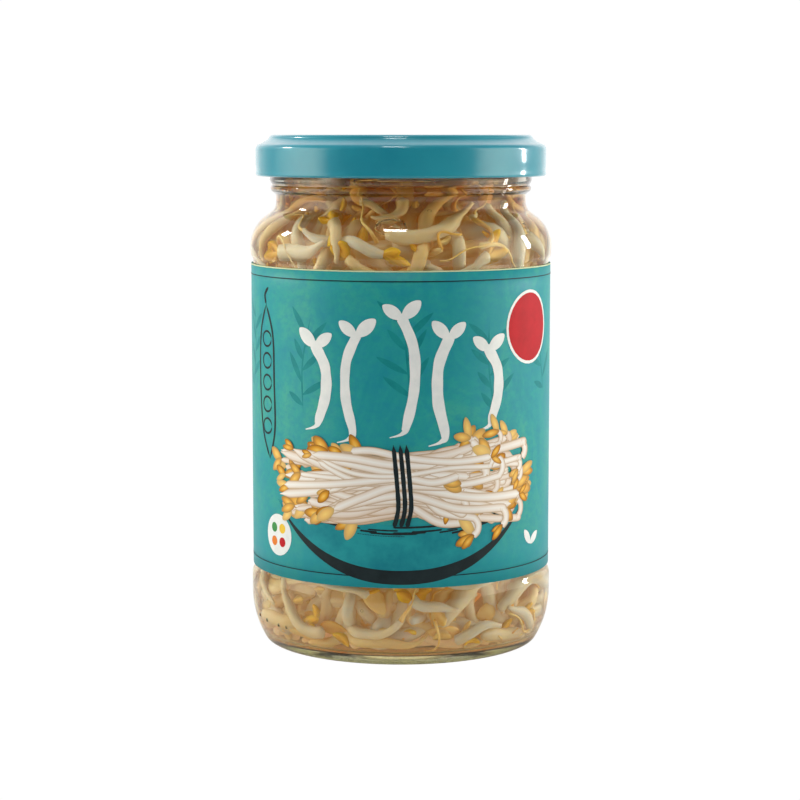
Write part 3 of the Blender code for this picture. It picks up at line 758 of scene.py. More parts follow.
def add_blade(body, centre, ahead, out, length, width, fold, slot, tone, depth):
    """A thin young leaf, folded along its rib."""
    across = ahead.cross(out).normalized()
    rows, thick = 9, 0.16 * MM
    points = []
    for i in range(rows):
        share = i / (rows - 1)
        reach = width * (0.1 + math.sin(math.pi * (0.04 + 0.94 * share)) ** 0.6)
        curl = out * 0.14 * length * math.sin(math.pi * share)
        spine = centre + ahead * length * share + curl
        edges = [spine + across * reach * way + out * fold * reach for way in (-1, 1)]
        points += [edges[0], spine + out * thick, edges[1], spine - out * thick]
    ends = [points[1] - ahead * thick, points[-3] + ahead * thick]
    body.add(points + ends, tube_faces(rows, 4), slot, depth=depth, tone=tone)


STEM, HEAD, ROOT, LEAF, CORE, FLOOR_STEM = range(6)


def held_in(track, half):
    """A track on the floor drawn in towards the middle so that none of it passes a radius."""
    most = max(math.hypot(a, b) for a, b in track)
    share = min(1.0, half / max(most, 1e-6))
    return [(a * share, b * share) for a, b in track]


def add_sprout(body, pile, draw, low, high, reach, detail, half=None, spread=0.6):
    """One sprout: a thick pale stem, a thin root at one end and, at most ends, a split bean and its leaves."""
    sides, steps = (10, 22) if detail else (7, 12)
    radius = STEM_RADIUS * draw.uniform(0.68, 1.06)
    length, phase = draw.uniform(18, 42) * MM, draw.uniform(0, 6)
    thinnest = draw.uniform(0.3, 0.8)
    radii = []
    for i in range(steps + 1):
        share = i / steps
        root_end = smooth_step(share / 0.4)
        head_end = smooth_step((1 - share) / 0.14)
        uneven = 1.0 + 0.06 * math.sin(9 * share + phase)
        radii.append(radius * uneven * (thinnest + (1 - thinnest) * root_end) * (0.65 + 0.35 * head_end))
    found = []
    for _ in range(PLACES_TRIED):
        heading = draw.gauss(0.0, spread) + (math.pi if draw.random() < 0.5 else 0.0)
        start = (draw.uniform(-reach, reach), draw.uniform(low, high if spread > 0.3 else low + LOW_BAND))
        bend = draw.uniform(-1.7, 1.7) * min(1.0, spread / 0.4)
        track = track_of(draw, start, heading, length, bend, draw.uniform(0.05, 0.35), steps)
        track = fit_between(track, low + radius, high - radius)
        track = held_in(track, half) if half else track
        depths, rows = pile.lay(track, radii, WALL_GAP)
        found.append((float(depths.max()), track, depths, rows))
    deepest, track, depths, rows = min(found, key=lambda item: item[0])
    if deepest > DEEPEST:
        return False
    pile.keep(rows)
    tone = draw.random() ** 1.6
    if min(depths) > PLAIN_FROM:
        add_strand(body, draw, pile.place, track[::2], depths[::2], radii[::2], 7, STEM, tone)
        return True
    add_strand(body, draw, pile.place, track, depths, radii, sides, FLOOR_STEM if half else STEM, tone)
    if half:
        return True
    if draw.random() < (0.65 if detail else 0.3):
        add_root(body, pile, draw, track, depths, radii, low, high, tone)
    if draw.random() < (0.62 if detail else 0.3):
        add_crown(body, pile, draw, track, depths, low, high)
    return True


class Gaps:
    """Places on the sheet that no strand covers yet, on a grid of points."""

    def __init__(self, reach, low, high, pitch):
        alongs = np.arange(-reach, reach, pitch)
        ups = np.arange(low + pitch / 2, high, pitch)
        self.spots = np.array([(a, b) for a in alongs for b in ups])

    def left(self, laid):
        open_spots = np.ones(len(self.spots), bool)
        for a, b, _, radius in laid:
            open_spots &= np.hypot(self.spots[:, 0] - a, self.spots[:, 1] - b) > radius * 1.05
        return self.spots[open_spots]


def fill_gaps(body, pile, draw, low, high, reach):
    """Short strands laid behind the places that are still open."""
    gaps = Gaps(reach, low, high, FILL_PITCH)
    spots = list(gaps.left(pile.laid))
    draw.shuffle(spots)
    steps = 10
    for spot in spots[:FILL_MOST]:
        radius = STEM_RADIUS * draw.uniform(0.75, 1.0)
        near = pile.laid[np.hypot(pile.laid[:, 0] - spot[0], pile.laid[:, 1] - spot[1]) < FILL_PITCH * 0.6]
        if len(near) and draw.random() < 0.55:
            continue
        heading = draw.uniform(0, math.pi)
        half = draw.uniform(5, 9) * MM
        start = (spot[0] - half * math.cos(heading), spot[1] - half * math.sin(heading))
        track = track_of(draw, start, heading, 2 * half, draw.uniform(-1.2, 1.2), 0.2, steps)
        track = fit_between(track, low + radius, high - radius)
        radii = [radius * min(1.0, 0.8 + 0.4 * min(i, steps - i) / 3) for i in range(steps + 1)]
        depths, rows = pile.lay(track, radii, draw.uniform(0.3, 2.6) * MM)
        deepest = float(depths.max())
        if deepest > DEEPEST + 1.2 * MM:
            continue
        rows[:, 2] = deepest
        pile.keep(rows)
        add_strand(body, draw, pile.place, track, [deepest] * (steps + 1), radii, 8, STEM, draw.random())


def fill_behind(body, pile, draw, low, high, reach):
    """Strands that lie across one another in front of the core, behind all the laid ones."""
    steps = 12
    for _ in range(BACK_STRANDS):
        radius = STEM_RADIUS * draw.uniform(0.7, 1.0)
        start = (draw.uniform(-reach, reach), draw.uniform(low, high))
        length = draw.uniform(16, 34) * MM
        track = track_of(draw, start, draw.uniform(0, 2 * math.pi), length, draw.uniform(-1.5, 1.5), 0.3, steps)
        track = fit_between(track, low + radius, high - radius)
        depth = draw.uniform(*BACK_DEPTHS)
        radii = [radius * min(1.0, 0.7 + 0.4 * min(i, steps - i) / 3) for i in range(steps + 1)]
        add_strand(body, draw, pile.place, track, [depth] * (steps + 1), radii, 8, STEM, draw.random())


def add_root(body, pile, draw, track, depths, radii, low, high, tone):
    """The thin root, which leaves the stem's narrow end and wanders over the others."""
    (a1, b1), (a0, b0) = track[1], track[0]
    heading = math.atan2(b0 - b1, a0 - a1)
    steps = 16
    length = draw.uniform(8, 22) * MM
    tail = track_of(draw, (a0, b0), heading, length, draw.uniform(-3.0, 3.0), draw.uniform(0.2, 0.7), steps)
    thin = draw.uniform(0.16, 0.3) * MM
    tail = fit_between(tail, low + thin, high - thin)
    sizes = [thin + (radii[0] * 0.8 - thin) * (1 - i / steps) ** 4 for i in range(steps + 1)]
    deep = [depths[0] * (1 - smooth_step(i / 5)) + (WALL_GAP + sizes[i]) * smooth_step(i / 5) for i in range(steps + 1)]
    if draw.random() < 0.5:
        deep = [max(d, depths[0] * 0.8) for d in deep]
    add_strand(body, draw, pile.place, tail, deep, sizes, 6, ROOT, tone)


def add_crown(body, pile, draw, track, depths, low, high):
    """Split bean halves at the stem's head, with a pair of young leaves between them on some."""
    (a1, b1), (a0, b0) = track[-2], track[-1]
    heading = math.atan2(b0 - b1, a0 - a1)
    tone = draw.random()
    for way in (-1, 1):
        half = draw.uniform(2.9, 3.9) * MM
        wide, thick = half * draw.uniform(0.5, 0.62), draw.uniform(0.9, 1.25) * MM
        angle = heading + way * draw.uniform(0.25, 0.95)
        a, b = a0 + 0.75 * half * math.cos(angle), b0 + 0.75 * half * math.sin(angle)
        b = min(max(b, low + half), high - half)
        spots = [(a + k * half * 0.5 * math.cos(angle), b + k * half * 0.5 * math.sin(angle)) for k in (-1, 0, 1)]
        need, rows = pile.lay(spots, [thick * 1.1] * 3, WALL_GAP)
        depth = max(float(need.max()), depths[-1] * 0.5)
        if depth > DEEPEST:
            continue
        pile.keep(np.column_stack([np.array(spots), [depth] * 3, [wide] * 3]))
        centre, out = pile.place(a, b, depth)
        ahead = (pile.place(a + MM * math.cos(angle), b + MM * math.sin(angle), depth)[0] - centre).normalized()
        face = out if draw.random() < 0.7 else -out
        add_seed_leaf(body, centre, ahead, face, (half, wide, thick), 0.25 * MM, HEAD, tone, painted_shade(depth, centre.z))
    if draw.random() < 0.6 and low + 6 * MM < b0 < high - 9 * MM:
        for way in (-1, 1):
            angle = heading + way * draw.uniform(0.1, 0.5)
            depth = max(WALL_GAP + 0.3 * MM, depths[-1] * 0.45)
            centre, out = pile.place(a0, b0, depth)
            ahead = (pile.place(a0 + MM * math.cos(angle), b0 + MM * math.sin(angle), depth)[0] - centre).normalized()
            length, width = draw.uniform(3.6, 6.5) * MM, draw.uniform(0.8, 1.4) * MM
            add_blade(body, centre, ahead, -out, length, width, 0.2, LEAF, draw.random(), painted_shade(depth, centre.z))


def add_core(body, low, high):
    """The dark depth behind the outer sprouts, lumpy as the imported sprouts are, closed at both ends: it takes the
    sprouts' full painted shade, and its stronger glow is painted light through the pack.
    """
    rows, columns = 14, 72
    draw = random.Random(SEED)
    waves = [(draw.randint(3, 11), draw.uniform(120, 420), draw.uniform(0, 6)) for _ in range(7)]
    points = []
    for i in range(rows):
        height = low + (high - low) * i / (rows - 1)
        (radius, _), _ = WALL.place(WALL.at_height(height), 0.0)
        radius -= CORE_DEPTH
        edge = 0.85 if i in (0, rows - 1) else 1.0
        for j in range(columns):
            turn = 2 * math.pi * j / columns
            lump = sum(math.sin(k * turn + f * height + p) for k, f, p in waves) / len(waves)
            r = (radius + 1.1 * MM * lump) * edge
            points.append((r * math.cos(turn), r * math.sin(turn), height))
    points += [(0.0, 0.0, low), (0.0, 0.0, high)]
    body.add(points, tube_faces(rows, columns), CORE, depth=1.0, tone=0.5)


def add_scrap(body, place, draw, low, high, reach):
    """A bit of leaf or skin, loose against the glass."""
    length = draw.uniform(1.6, 4.6) * MM
    a, b = draw.uniform(-reach, reach), draw.uniform(low + length, high - length)
    angle, depth = draw.uniform(0, 2 * math.pi), draw.uniform(0.5, 3.2) * MM
    centre, out = place(a, b, depth)
    ahead = (place(a + MM * math.cos(angle), b + MM * math.sin(angle), depth)[0] - centre).normalized()
    slot = LEAF if draw.random() < 0.6 else ROOT
    width = length * draw.uniform(0.16, 0.4)
    add_blade(body, centre, ahead, -out, length, width, 0.3, slot, draw.random(), painted_shade(depth, centre.z))


def add_loose_head(body, pile, draw, low, high, reach):
    """A short bent stem with its split bean and leaves, in front of the rest of the pack."""
    radius, steps = STEM_RADIUS * draw.uniform(0.6, 0.85), 14
    start = (draw.uniform(-reach, reach), draw.uniform(low + 4 * MM, high - 4 * MM))
    heading = draw.uniform(0, 2 * math.pi)
    length = draw.uniform(9, 24) * MM
    track = track_of(draw, start, heading, length, draw.uniform(-2.0, 2.0), 0.2, steps)
    track = fit_between(track, low + 3 * MM, high - 3 * MM)
    radii = [radius * (0.4 + 0.6 * smooth_step(2.0 * i / steps)) for i in range(steps + 1)]
    depths, rows = pile.lay(track, radii, WALL_GAP)
    if depths.max() > 5 * MM:
        return
    pile.keep(rows)
    add_strand(body, draw, pile.place, track, depths, radii, 10, STEM, draw.random() * 0.6)
    add_crown(body, pile, draw, track, depths, low, high)


def make_sprouts(materials):
    """The three packed layers. The middle one is behind the label, so its sprouts are plainer."""
    layers = [("sprouts_bottom", 18, 260, True), ("sprouts_middle", 0, 70, False), ("sprouts_top", 30, 300, True)]
    for order, (node, heads, count, detail) in enumerate(layers):
        low_corner, high_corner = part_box(node)
        draw = random.Random(SEED + order)
        body = Body("depth", "tone", "fibre")
        pile = Pile(on_wall)
        low = 0.0 if node == "sprouts_bottom" else WALL.at_height(low_corner.z)
        high = WALL.at_height(110.6 * MM if node == "sprouts_top" else high_corner.z)
        if node == "sprouts_bottom":
            high = WALL.at_height(SHOWN_LOW)
        if node == "sprouts_top":
            low = WALL.at_height(SHOWN_HIGH)
        reach = math.pi * INSIDE_RADIUS
        for _ in range(heads):
            add_loose_head(body, pile, draw, low, high, reach)
        for _ in range(26 if node == "sprouts_bottom" else 0):
            add_sprout(body, pile, draw, low, high, reach, detail, spread=0.14)
        for _ in range(count):
            add_sprout(body, pile, draw, low, high, reach, detail, spread=1.1 if node == "sprouts_top" else 0.6)
        for _ in range(SCRAPS if detail else 0):
            add_scrap(body, pile.place, draw, low, high, reach)
        if detail:
            fill_gaps(body, pile, draw, low, high, reach)
            fill_behind(body, pile, draw, low, high, reach)
        if node == "sprouts_bottom":
            floor = Pile(on_floor)
            half = 26.6 * MM
            for _ in range(70):
                add_sprout(body, floor, draw, -half, half, half, True, half)
        add_core(body, low_corner.z + 2.5 * MM, high_corner.z + 1.0 * MM * (1 if node == "sprouts_top" else -1))
        made = body.make(f"{node}_packed", materials)
        dress(made, "jar", "sprout_flesh", node)


# The lid and its seal


def moved_in(points, distance):
    """A line of points moved to its right by a distance, which is inwards on a profile that runs down."""
    line = np.array(points)
    ahead = np.diff(line, axis=0)
    ahead /= np.hypot(*ahead.T)[:, None]
    before = np.vstack([ahead[:1], ahead])
    after = np.vstack([ahead, ahead[-1:]])
    share = distance / (1 + (before * after).sum(axis=1))
    both = (before + after) * share[:, None]
    return [(r + dz, z - dr) for (r, z), (dr, dz) in zip(points, both)]


def lid_profile():
    panel = LID_TOP - PANEL_DROP
    outside = [(0.0, panel - BUTTON_DROP)]
    for share in (0.2, 0.4, 0.6, 0.8, 0.92):
        outside.append((BUTTON_RADIUS * share, panel - BUTTON_DROP * (1 - smooth_step((share - 0.1) / 0.85))))
    outside += [(BUTTON_RADIUS * 1.04, panel), (BUTTON_RADIUS * 1.3, panel), (20 * MM, panel + 0.02 * MM)]
    step_width = LID_RING_INNER - PANEL_STEP_RADIUS
    for share in (0.0, 0.15, 0.3, 0.45, 0.6, 0.75, 0.9, 1.0):
        outside.append((PANEL_STEP_RADIUS + step_width * share, panel + PANEL_DROP * smooth_step(share)))
    outside += arc(LID_STEP_CENTRE, LID_STEP, 90, 12, 7)
    outside += [(31.75 * MM, 119.85 * MM), (32.25 * MM, 119.5 * MM)]
    outside += arc(LID_CORNER_CENTRE, LID_CORNER, 82, 0, 9)
    outside += [(LID_RADIUS, 116.0 * MM), (LID_RADIUS, 114.0 * MM)]
    curl_centre = (LID_RADIUS - CURL, LID_BOTTOM + CURL)
    neck = [(LID_RADIUS - 0.12 * MM, LID_BOTTOM + 2.6 * CURL), (LID_RADIUS - 0.1 * MM, LID_BOTTOM + 1.9 * CURL)]
    curl = arc(curl_centre, CURL, 25, -235, 16)
    inside = moved_in(outside, SHEET)
    inside[0] = (0.0, inside[0][1])
    inner_neck = [(LID_RADIUS - SHEET, 113.0 * MM)]
    return outside + neck + curl + inner_neck + inside[::-1]


def make_lid():
    enamel = lid_material()
    lid = turned("lid_shell", lid_profile(), enamel)
    lugs = Body()
    rows, columns = 9, 12
    for lug in range(LUG_COUNT):
        middle = 2 * math.pi * lug / LUG_COUNT
        points = []
        for i in range(rows):
            share = 2 * i / (rows - 1) - 1
            turn = middle + share * LUG_WIDTH / 2 / LUG_INNER
            shrink = math.sqrt(max(0.15, 1 - share**6))
            for j in range(columns):
                around = 2 * math.pi * j / columns
                r = LUG_INNER + LUG_DEPTH / 2 * (1 + math.cos(around) * shrink)
                z = LUG_BOTTOM + LUG_HEIGHT / 2 * (1 + math.sin(around))
                points.append((r * math.cos(turn), r * math.sin(turn), z))
        ends = [np.mean(points[:columns], axis=0), np.mean(points[-columns:], axis=0)]
        lugs.add(points + ends, tube_faces(rows, columns))
    catches = lugs.make("lid_lugs", [enamel])
    union = lid.modifiers.new("Lugs", "BOOLEAN")
    union.operation, union.object = "UNION", catches
    graph = bpy.context.evaluated_depsgraph_get()
    fused = bpy.data.meshes.new_from_object(lid.evaluated_get(graph))
    lid.modifiers.clear()
    lid.data = fused
    bpy.data.objects.remove(catches)
    dress(lid, "lid", "lid_paint", "lid")
    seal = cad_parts["lid_seal"]
    seal.data.materials.clear()
    seal.data.materials.append(seal_material())


# The label and its print


def on_label(along, height, lift):
    """A point on the label's front or round it, by its length along the paper from the front's middle."""
    turn = -math.pi / 2 + along / PRINT_RADIUS
    reach = PRINT_RADIUS + lift
    return (reach * math.cos(turn), reach * math.sin(turn), height)


def make_label(paper):
    """The paper band: one closed sheet, lapped over itself at the back."""
    steps, rows = 240, 12
    lap = math.radians(OVERLAP_DEG)
    body = Body()
    points = []
    for side in (1, 0):
        for i in range(rows + 1):
            height = LABEL_LOW + (LABEL_HIGH - LABEL_LOW) * i / rows
            for j in range(steps + 1):
                turn = math.pi / 2 - lap / 2 + (2 * math.pi + lap) * j / steps
                over = smooth_step((turn - math.pi / 2 + lap / 2 - 2 * math.pi + lap * 0.3) / (lap * 0.3))
                radius = LABEL_INNER + PAPER * side + over * (PAPER + 0.01 * MM)
                points.append((radius * math.cos(turn), radius * math.sin(turn), height))
    columns = steps + 1
    count = columns * (rows + 1)
    outer = grid_faces(rows + 1, columns)
    faces = outer + [tuple(count + i for i in face[::-1]) for face in outer]
    for j in range(steps):
        for i in (0, rows):
            faces.append((i * columns + j, i * columns + j + 1, count + i * columns + j + 1, count + i * columns + j))
    for i in range(rows):
        for j in (0, steps):
            low, high = i * columns + j, (i + 1) * columns + j
            faces.append((low, high, count + high, count + low))
    body.add(points, faces)
    label = body.make("label_wrap", [paper])
    return dress(label, "jar", "label_paper", "label")


class Print(Body):
    """Printed shapes of one colour, each a thin film on the paper, over all earlier ones that it crosses."""

    def __init__(self, lift):
        super().__init__("across", "gold", "tone")
        self.lift, self.levels = lift, {}

    def lift_over(self, spots):
        """The lift of a film that covers these places: one level over what is printed there."""
        cells = {(round(a / CELL), round(b / CELL)) for a, b in spots}
        level = 1 + max(self.levels.get(cell, 0) for cell in cells)
        self.levels.update(dict.fromkeys(cells, level))
        return self.lift + LEVEL * level

    def line(self, track, widths, gold=0.0, tone=0.0):
        """A brushed line along (along, height) points with a half width at each."""
        line = np.array(track)
        ahead = np.gradient(line, axis=0)
        ahead /= np.maximum(np.hypot(*ahead.T), 1e-9)[:, None]
        spots, edges = [], []
        for (a, b), (da, db), half in zip(line, ahead, widths):
            for share in (-1.0, -0.5, 0.0, 0.5, 1.0):
                spots.append((a - db * half * share, b + da * half * share))
                edges.append(abs(share))
        lift = self.lift_over(spots)
        points = [on_label(a, b, lift) for a, b in spots]
        self.add(points, grid_faces(len(track), 5), across=edges, gold=gold, tone=tone)

    def patch(self, centre, sizes, lean, gold=0.0, tone=0.0, pointed=0.0):
        """A filled oval, or a leaf shape where pointed, by its half sizes and its lean."""
        rings = max(3, int(max(sizes) / (0.6 * MM)) + 1)
        spokes = 32
        spots, edges = [centre], [0.0]
        for i in range(1, rings + 1):
            for j in range(spokes):
                around = 2 * math.pi * j / spokes
                taper = (1 - pointed) + pointed * abs(math.sin(around))
                x = sizes[0] * math.cos(around) * i / rings
                y = sizes[1] * math.sin(around) * taper * i / rings
                along = centre[0] + x * math.cos(lean) - y * math.sin(lean)
                height = centre[1] + x * math.sin(lean) + y * math.cos(lean)
                spots.append((along, height))
                edges.append(i / rings)
        faces = [(0, 1 + j, 1 + (j + 1) % spokes) for j in range(spokes)]
        for i in range(rings - 1):
            for j in range(spokes):
                k = (j + 1) % spokes
                near, far = 1 + i * spokes, 1 + (i + 1) * spokes
                faces.append((near + j, far + j, far + k, near + k))
        lift = self.lift_over(spots)
        points = [on_label(a, b, lift) for a, b in spots]
        self.add(points, faces, across=edges, gold=gold, tone=tone)

    def finish(self, name, material):
        obj = self.make(name, [material], outward=False)
        work = bmesh.new()
        work.from_mesh(obj.data)
        inward = [face for face in work.faces if face.normal.xy.dot(face.calc_center_median().xy) < 0]
        bmesh.ops.reverse_faces(work, faces=inward)
        work.to_mesh(obj.data)
        work.free()
        return dress(obj, "jar", "label_paper")


def curve_points(points, steps=18):
    """A smooth curve through points, as Catmull and Rom draw it."""
    line = np.array([points[0]] + list(points) + [points[-1]])
    found = []
    for p0, p1, p2, p3 in zip(line, line[1:], line[2:], line[3:]):
        second, third = 2 * p0 - 5 * p1 + 4 * p2 - p3, 3 * p1 - p0 - 3 * p2 + p3
        for t in np.linspace(0, 1, steps, endpoint=False):
            found.append(0.5 * (2 * p1 + (p2 - p0) * t + second * t**2 + third * t**3))
    found.append(line[-1])
    return [tuple(p) for p in found]


def brushed(track, width, ends=0.15, draw=None, blunt=False):
    """Half widths along a track that narrow at both ends, or only the far one, uneven where a draw is given."""
    count = len(track)
    phase = [draw.uniform(0, 6) for _ in range(2)] if draw else (0.0, 0.0)
    depth = 0.035 if draw else 0.0
    widths = []
    for i in range(count):
        share = i / (count - 1)
        taper = min(1.0, smooth_step((1 - share) / ends) + 0.1)
        taper = taper if blunt else min(taper, smooth_step(share / ends) + 0.1)
        rough = 1.0 + depth * math.sin(21 * share + phase[0]) + depth * math.sin(47 * share + phase[1])
        widths.append(width * taper * rough)
    return widths


def scaled(points):
    return [(a * MM, b * MM) for a, b in points]


def print_border(dark, pale, draw):
    """Thin rules round the top and the bottom, and sprays of slim leaves in a paler teal between them."""
    around = math.pi * PRINT_RADIUS
    for height in (LABEL_HIGH - 2.4 * MM, LABEL_LOW + 2.6 * MM):
        track = [(around * (2 * i / 240 - 1) * 0.97, height) for i in range(241)]
        dark.line(track, [0.11 * MM] * 241)
    for index in range(-4, 5):
        foot = (index * 23.0 + draw.uniform(-3, 3), draw.uniform(55, 61))
        lean = draw.uniform(-0.25, 0.25)
        tip = (foot[0] + 22 * math.sin(lean), foot[1] + 22 * math.cos(lean))
        middle = ((foot[0] + tip[0]) / 2 + draw.uniform(-1.5, 1.5), (foot[1] + tip[1]) / 2)
        stalk = curve_points(scaled([foot, middle, tip]))
        pale.line(stalk, brushed(stalk, 0.22 * MM, 0.3))
        for step in range(7):
            at = stalk[(step + 1) * len(stalk) // 9]
            way = 1 if step % 2 else -1
            angle = math.pi / 2 - lean - way * draw.uniform(0.6, 1.1)
            reach = draw.uniform(2.6, 4.4) * MM
            place = (at[0] + reach * math.cos(angle), at[1] + reach * math.sin(angle))
            pale.patch(place, (reach, 0.75 * MM), angle, pointed=0.7)


def print_paper_edge(edge):
    """The unprinted paper that shows as a thin line along the label's cut top."""
    around = math.pi * PRINT_RADIUS
    track = [(around * (2 * i / 300 - 1) * 0.995, LABEL_HIGH - 0.16 * MM) for i in range(301)]
    edge.line(track, [0.15 * MM] * 301)


def print_sprout_icons(white, draw):
    """Tall white sprouts in brush strokes, each a bowed stem with two leaves and a root."""
    plants = [(-20.5, 57, 19, 3.2), (-10.2, 54.5, 25, -3.0), (0.3, 56, 28, 3.2), (11.0, 54, 25, -3.0), (21.2, 57, 18, 3.2)]
    for tip, foot, tall, bow in plants:
        base, top = tip + bow * 0.3, foot + tall * 0.86
        shape = [(tip, top), (base + bow * 0.5, foot + tall * 0.62), (base + bow * 0.55, foot + tall * 0.3)]
        shape += [(base, foot), (base - 1.0, foot - 1.9), (base - 3.8, foot - 2.8)]
        stroke = curve_points(scaled(shape))
        width = draw.uniform(1.15, 1.35) * MM
        white.line(stroke, brushed(stroke, width, 0.62, draw, blunt=True))
        white.patch((tip * MM, top * MM), (width, width), 0.0)
        for way in (1, -1):
            lean = math.pi / 2 - way * draw.uniform(0.78, 0.98)
            reach = draw.uniform(2.6, 3.1) * MM
            place = (tip * MM + reach * math.cos(lean), top * MM + reach * math.sin(lean))
            white.patch(place, (reach, reach * 0.52), lean, pointed=0.45)


def print_pod(dark, draw):
    """A hanging bean pod drawn in dark ink, with its seeds."""
    middle, top, bottom = -38.0, 82.0, 46.0
    for way in (-1, 1):
        side = [(middle, top), (middle + way * 3.1, top - 7), (middle + way * 3.6, (top + bottom) / 2)]
        side += [(middle + way * 3.0 + 0.8, bottom + 7), (middle + 1.5, bottom)]
        edge = curve_points(scaled(side))
        dark.line(edge, brushed(edge, 0.34 * MM, 0.1, draw))
    for index in range(5):
        height = top - 8.0 - index * 5.1
        turns = [2 * math.pi * i / 28 for i in range(29)]
        ring = [((middle + 0.3 + 2.1 * math.cos(t)) * MM, (height + 1.75 * math.sin(t)) * MM) for t in turns]
        dark.line(ring, brushed(ring, 0.24 * MM, 0.1, draw))
    stalk = curve_points(scaled([(middle, top), (middle - 0.6, top + 2.2), (middle + 1.2, top + 4.0)]))
    dark.line(stalk, brushed(stalk, 0.4 * MM, 0.2, draw))


def print_shade(shade, dark, draw):
    """A broad crescent of dry brush strokes under the drawn bundle, blackest along its lower edge."""
    upper_low, lower_low = 4.0, 36.0 - LABEL_LOW / MM

    def brush(share, start, end, width):
        track = []
        for k in np.linspace(start, end, 110):
            upper, lower = 37.0 - upper_low * (1 - k * k), 37.0 - lower_low * (1 - abs(k) ** 2.3)
            track.append((33.0 * k, upper + (lower - upper) * share))
        return scaled(track), brushed(track, width * MM, 0.06, draw)

    rows = 46
    for index in range(rows):
        share = index / (rows - 1)
        ink = dark if share > 0.76 else shade
        ink.line(*brush(share, -1 + draw.uniform(0, 0.08), 1 - draw.uniform(0, 0.08), draw.uniform(0.18, 0.32)))
    for _ in range(34):
        start, reach = draw.uniform(-0.95, 0.7), draw.uniform(0.08, 0.4)
        share = draw.choice((draw.uniform(0.02, 0.2), draw.uniform(0.5, 0.78)))
        dark.line(*brush(share, start, min(start + reach, 0.96), draw.uniform(0.12, 0.26)))


def print_bundle(drawn, ties, draw):
    """A drawn bundle of sprouts lying level, tied round its middle: pale strands with golden beans on them."""
    count = 88
    for index in range(count):
        layer = index / count
        left, right = -draw.uniform(9, 32), draw.uniform(9, 32)
        tall = 10.5 - 3.0 * layer
        first, last = draw.uniform(-1, 1), draw.uniform(-1, 1)
        middle = 0.3 * (first + last) + draw.uniform(-0.35, 0.35)
        lifts = (first, (first + middle) / 2 + draw.uniform(-0.25, 0.25), middle)
        lifts += ((last + middle) / 2 + draw.uniform(-0.25, 0.25), last)
        alongs = (left, left * 0.55, draw.uniform(-2, 2), right * 0.55, right)
        shape = [(a, 42.5 + lift * tall) for a, lift in zip(alongs, lifts)]
        if draw.random() < 0.3:
            reach, way, (a, b) = draw.uniform(1.3, 2.4), draw.choice((-1, 1)), shape[-1]
            for turn in (0.7, 1.4, 2.1, 2.8):
                shape.append((a + reach * math.sin(turn), b + way * reach * (1 - math.cos(turn))))
        track = curve_points(scaled(shape), 20)
        tone = draw.random() * (1.0 - layer) ** 1.2
        drawn.line(track, brushed(track, draw.uniform(0.6, 1.15) * MM, 0.05), tone=tone)
        for end, inner in ((track[-1], track[-5]), (track[0], track[4])):
            if draw.random() > 0.5:
                continue
            lean = math.atan2(end[1] - inner[1], end[0] - inner[0])
            spread, size = draw.uniform(0.2, 0.9), draw.uniform(1.5, 3.2)
            for way in (-1, 1):
                angle = lean + way * spread * draw.uniform(0.5, 1.0)
                reach = size * draw.uniform(0.8, 1.1) * MM
                place = (end[0] + reach * 0.8 * math.cos(angle), end[1] + reach * 0.8 * math.sin(angle))
                slim = draw.uniform(0.36, 0.56)
                drawn.patch(place, (reach, reach * slim), angle, gold=1.0, tone=draw.random() ** 2, pointed=0.3)
    ties.levels = drawn.levels
    for offset in (-1.1, 0.4, 1.8):
        shape = [(offset - 0.5, 32.6), (offset + 0.5, 37.0), (offset + 0.2, 43.0), (offset - 0.6, 51.6)]
        band = curve_points(scaled(shape), 30)
        ties.line(band, brushed(band, 0.5 * MM, 0.1, draw))


def print_tag(white, colours):
    """A small white tag with four plain dots of colour."""
    place = (-33.0 * MM, 28.5 * MM)
    white.patch(place, (4.9 * MM, 4.9 * MM), 0.0)
    for (film, (a, b)) in zip(colours, ((-1, 1), (1, 1), (-1, -1), (1, -1))):
        film.patch((place[0] + 1.6 * a * MM, place[1] + 1.6 * b * MM), (1.15 * MM, 1.15 * MM), 0.0)


def print_back(panel, dark):
    """A blank ruled panel at the back, as a food label has for its facts, and no words on it."""
    middle, half, low, high = math.pi * PRINT_RADIUS * 0.66, 17 * MM, 30 * MM, 68 * MM
    columns, rows = 60, 40
    spots = []
    for i in range(rows + 1):
        for j in range(columns + 1):
            spots.append((middle + half * (2 * j / columns - 1), low + (high - low) * i / rows))
    lift = panel.lift_over(spots)
    panel.add([on_label(a, b, lift) for a, b in spots], grid_faces(rows + 1, columns + 1))
    for height in np.linspace(low + 4 * MM, high - 4 * MM, 9):
        track = [(middle + half * 0.88 * k, height) for k in np.linspace(-1, 1, 30)]
        dark.line(track, [0.09 * MM] * 30)


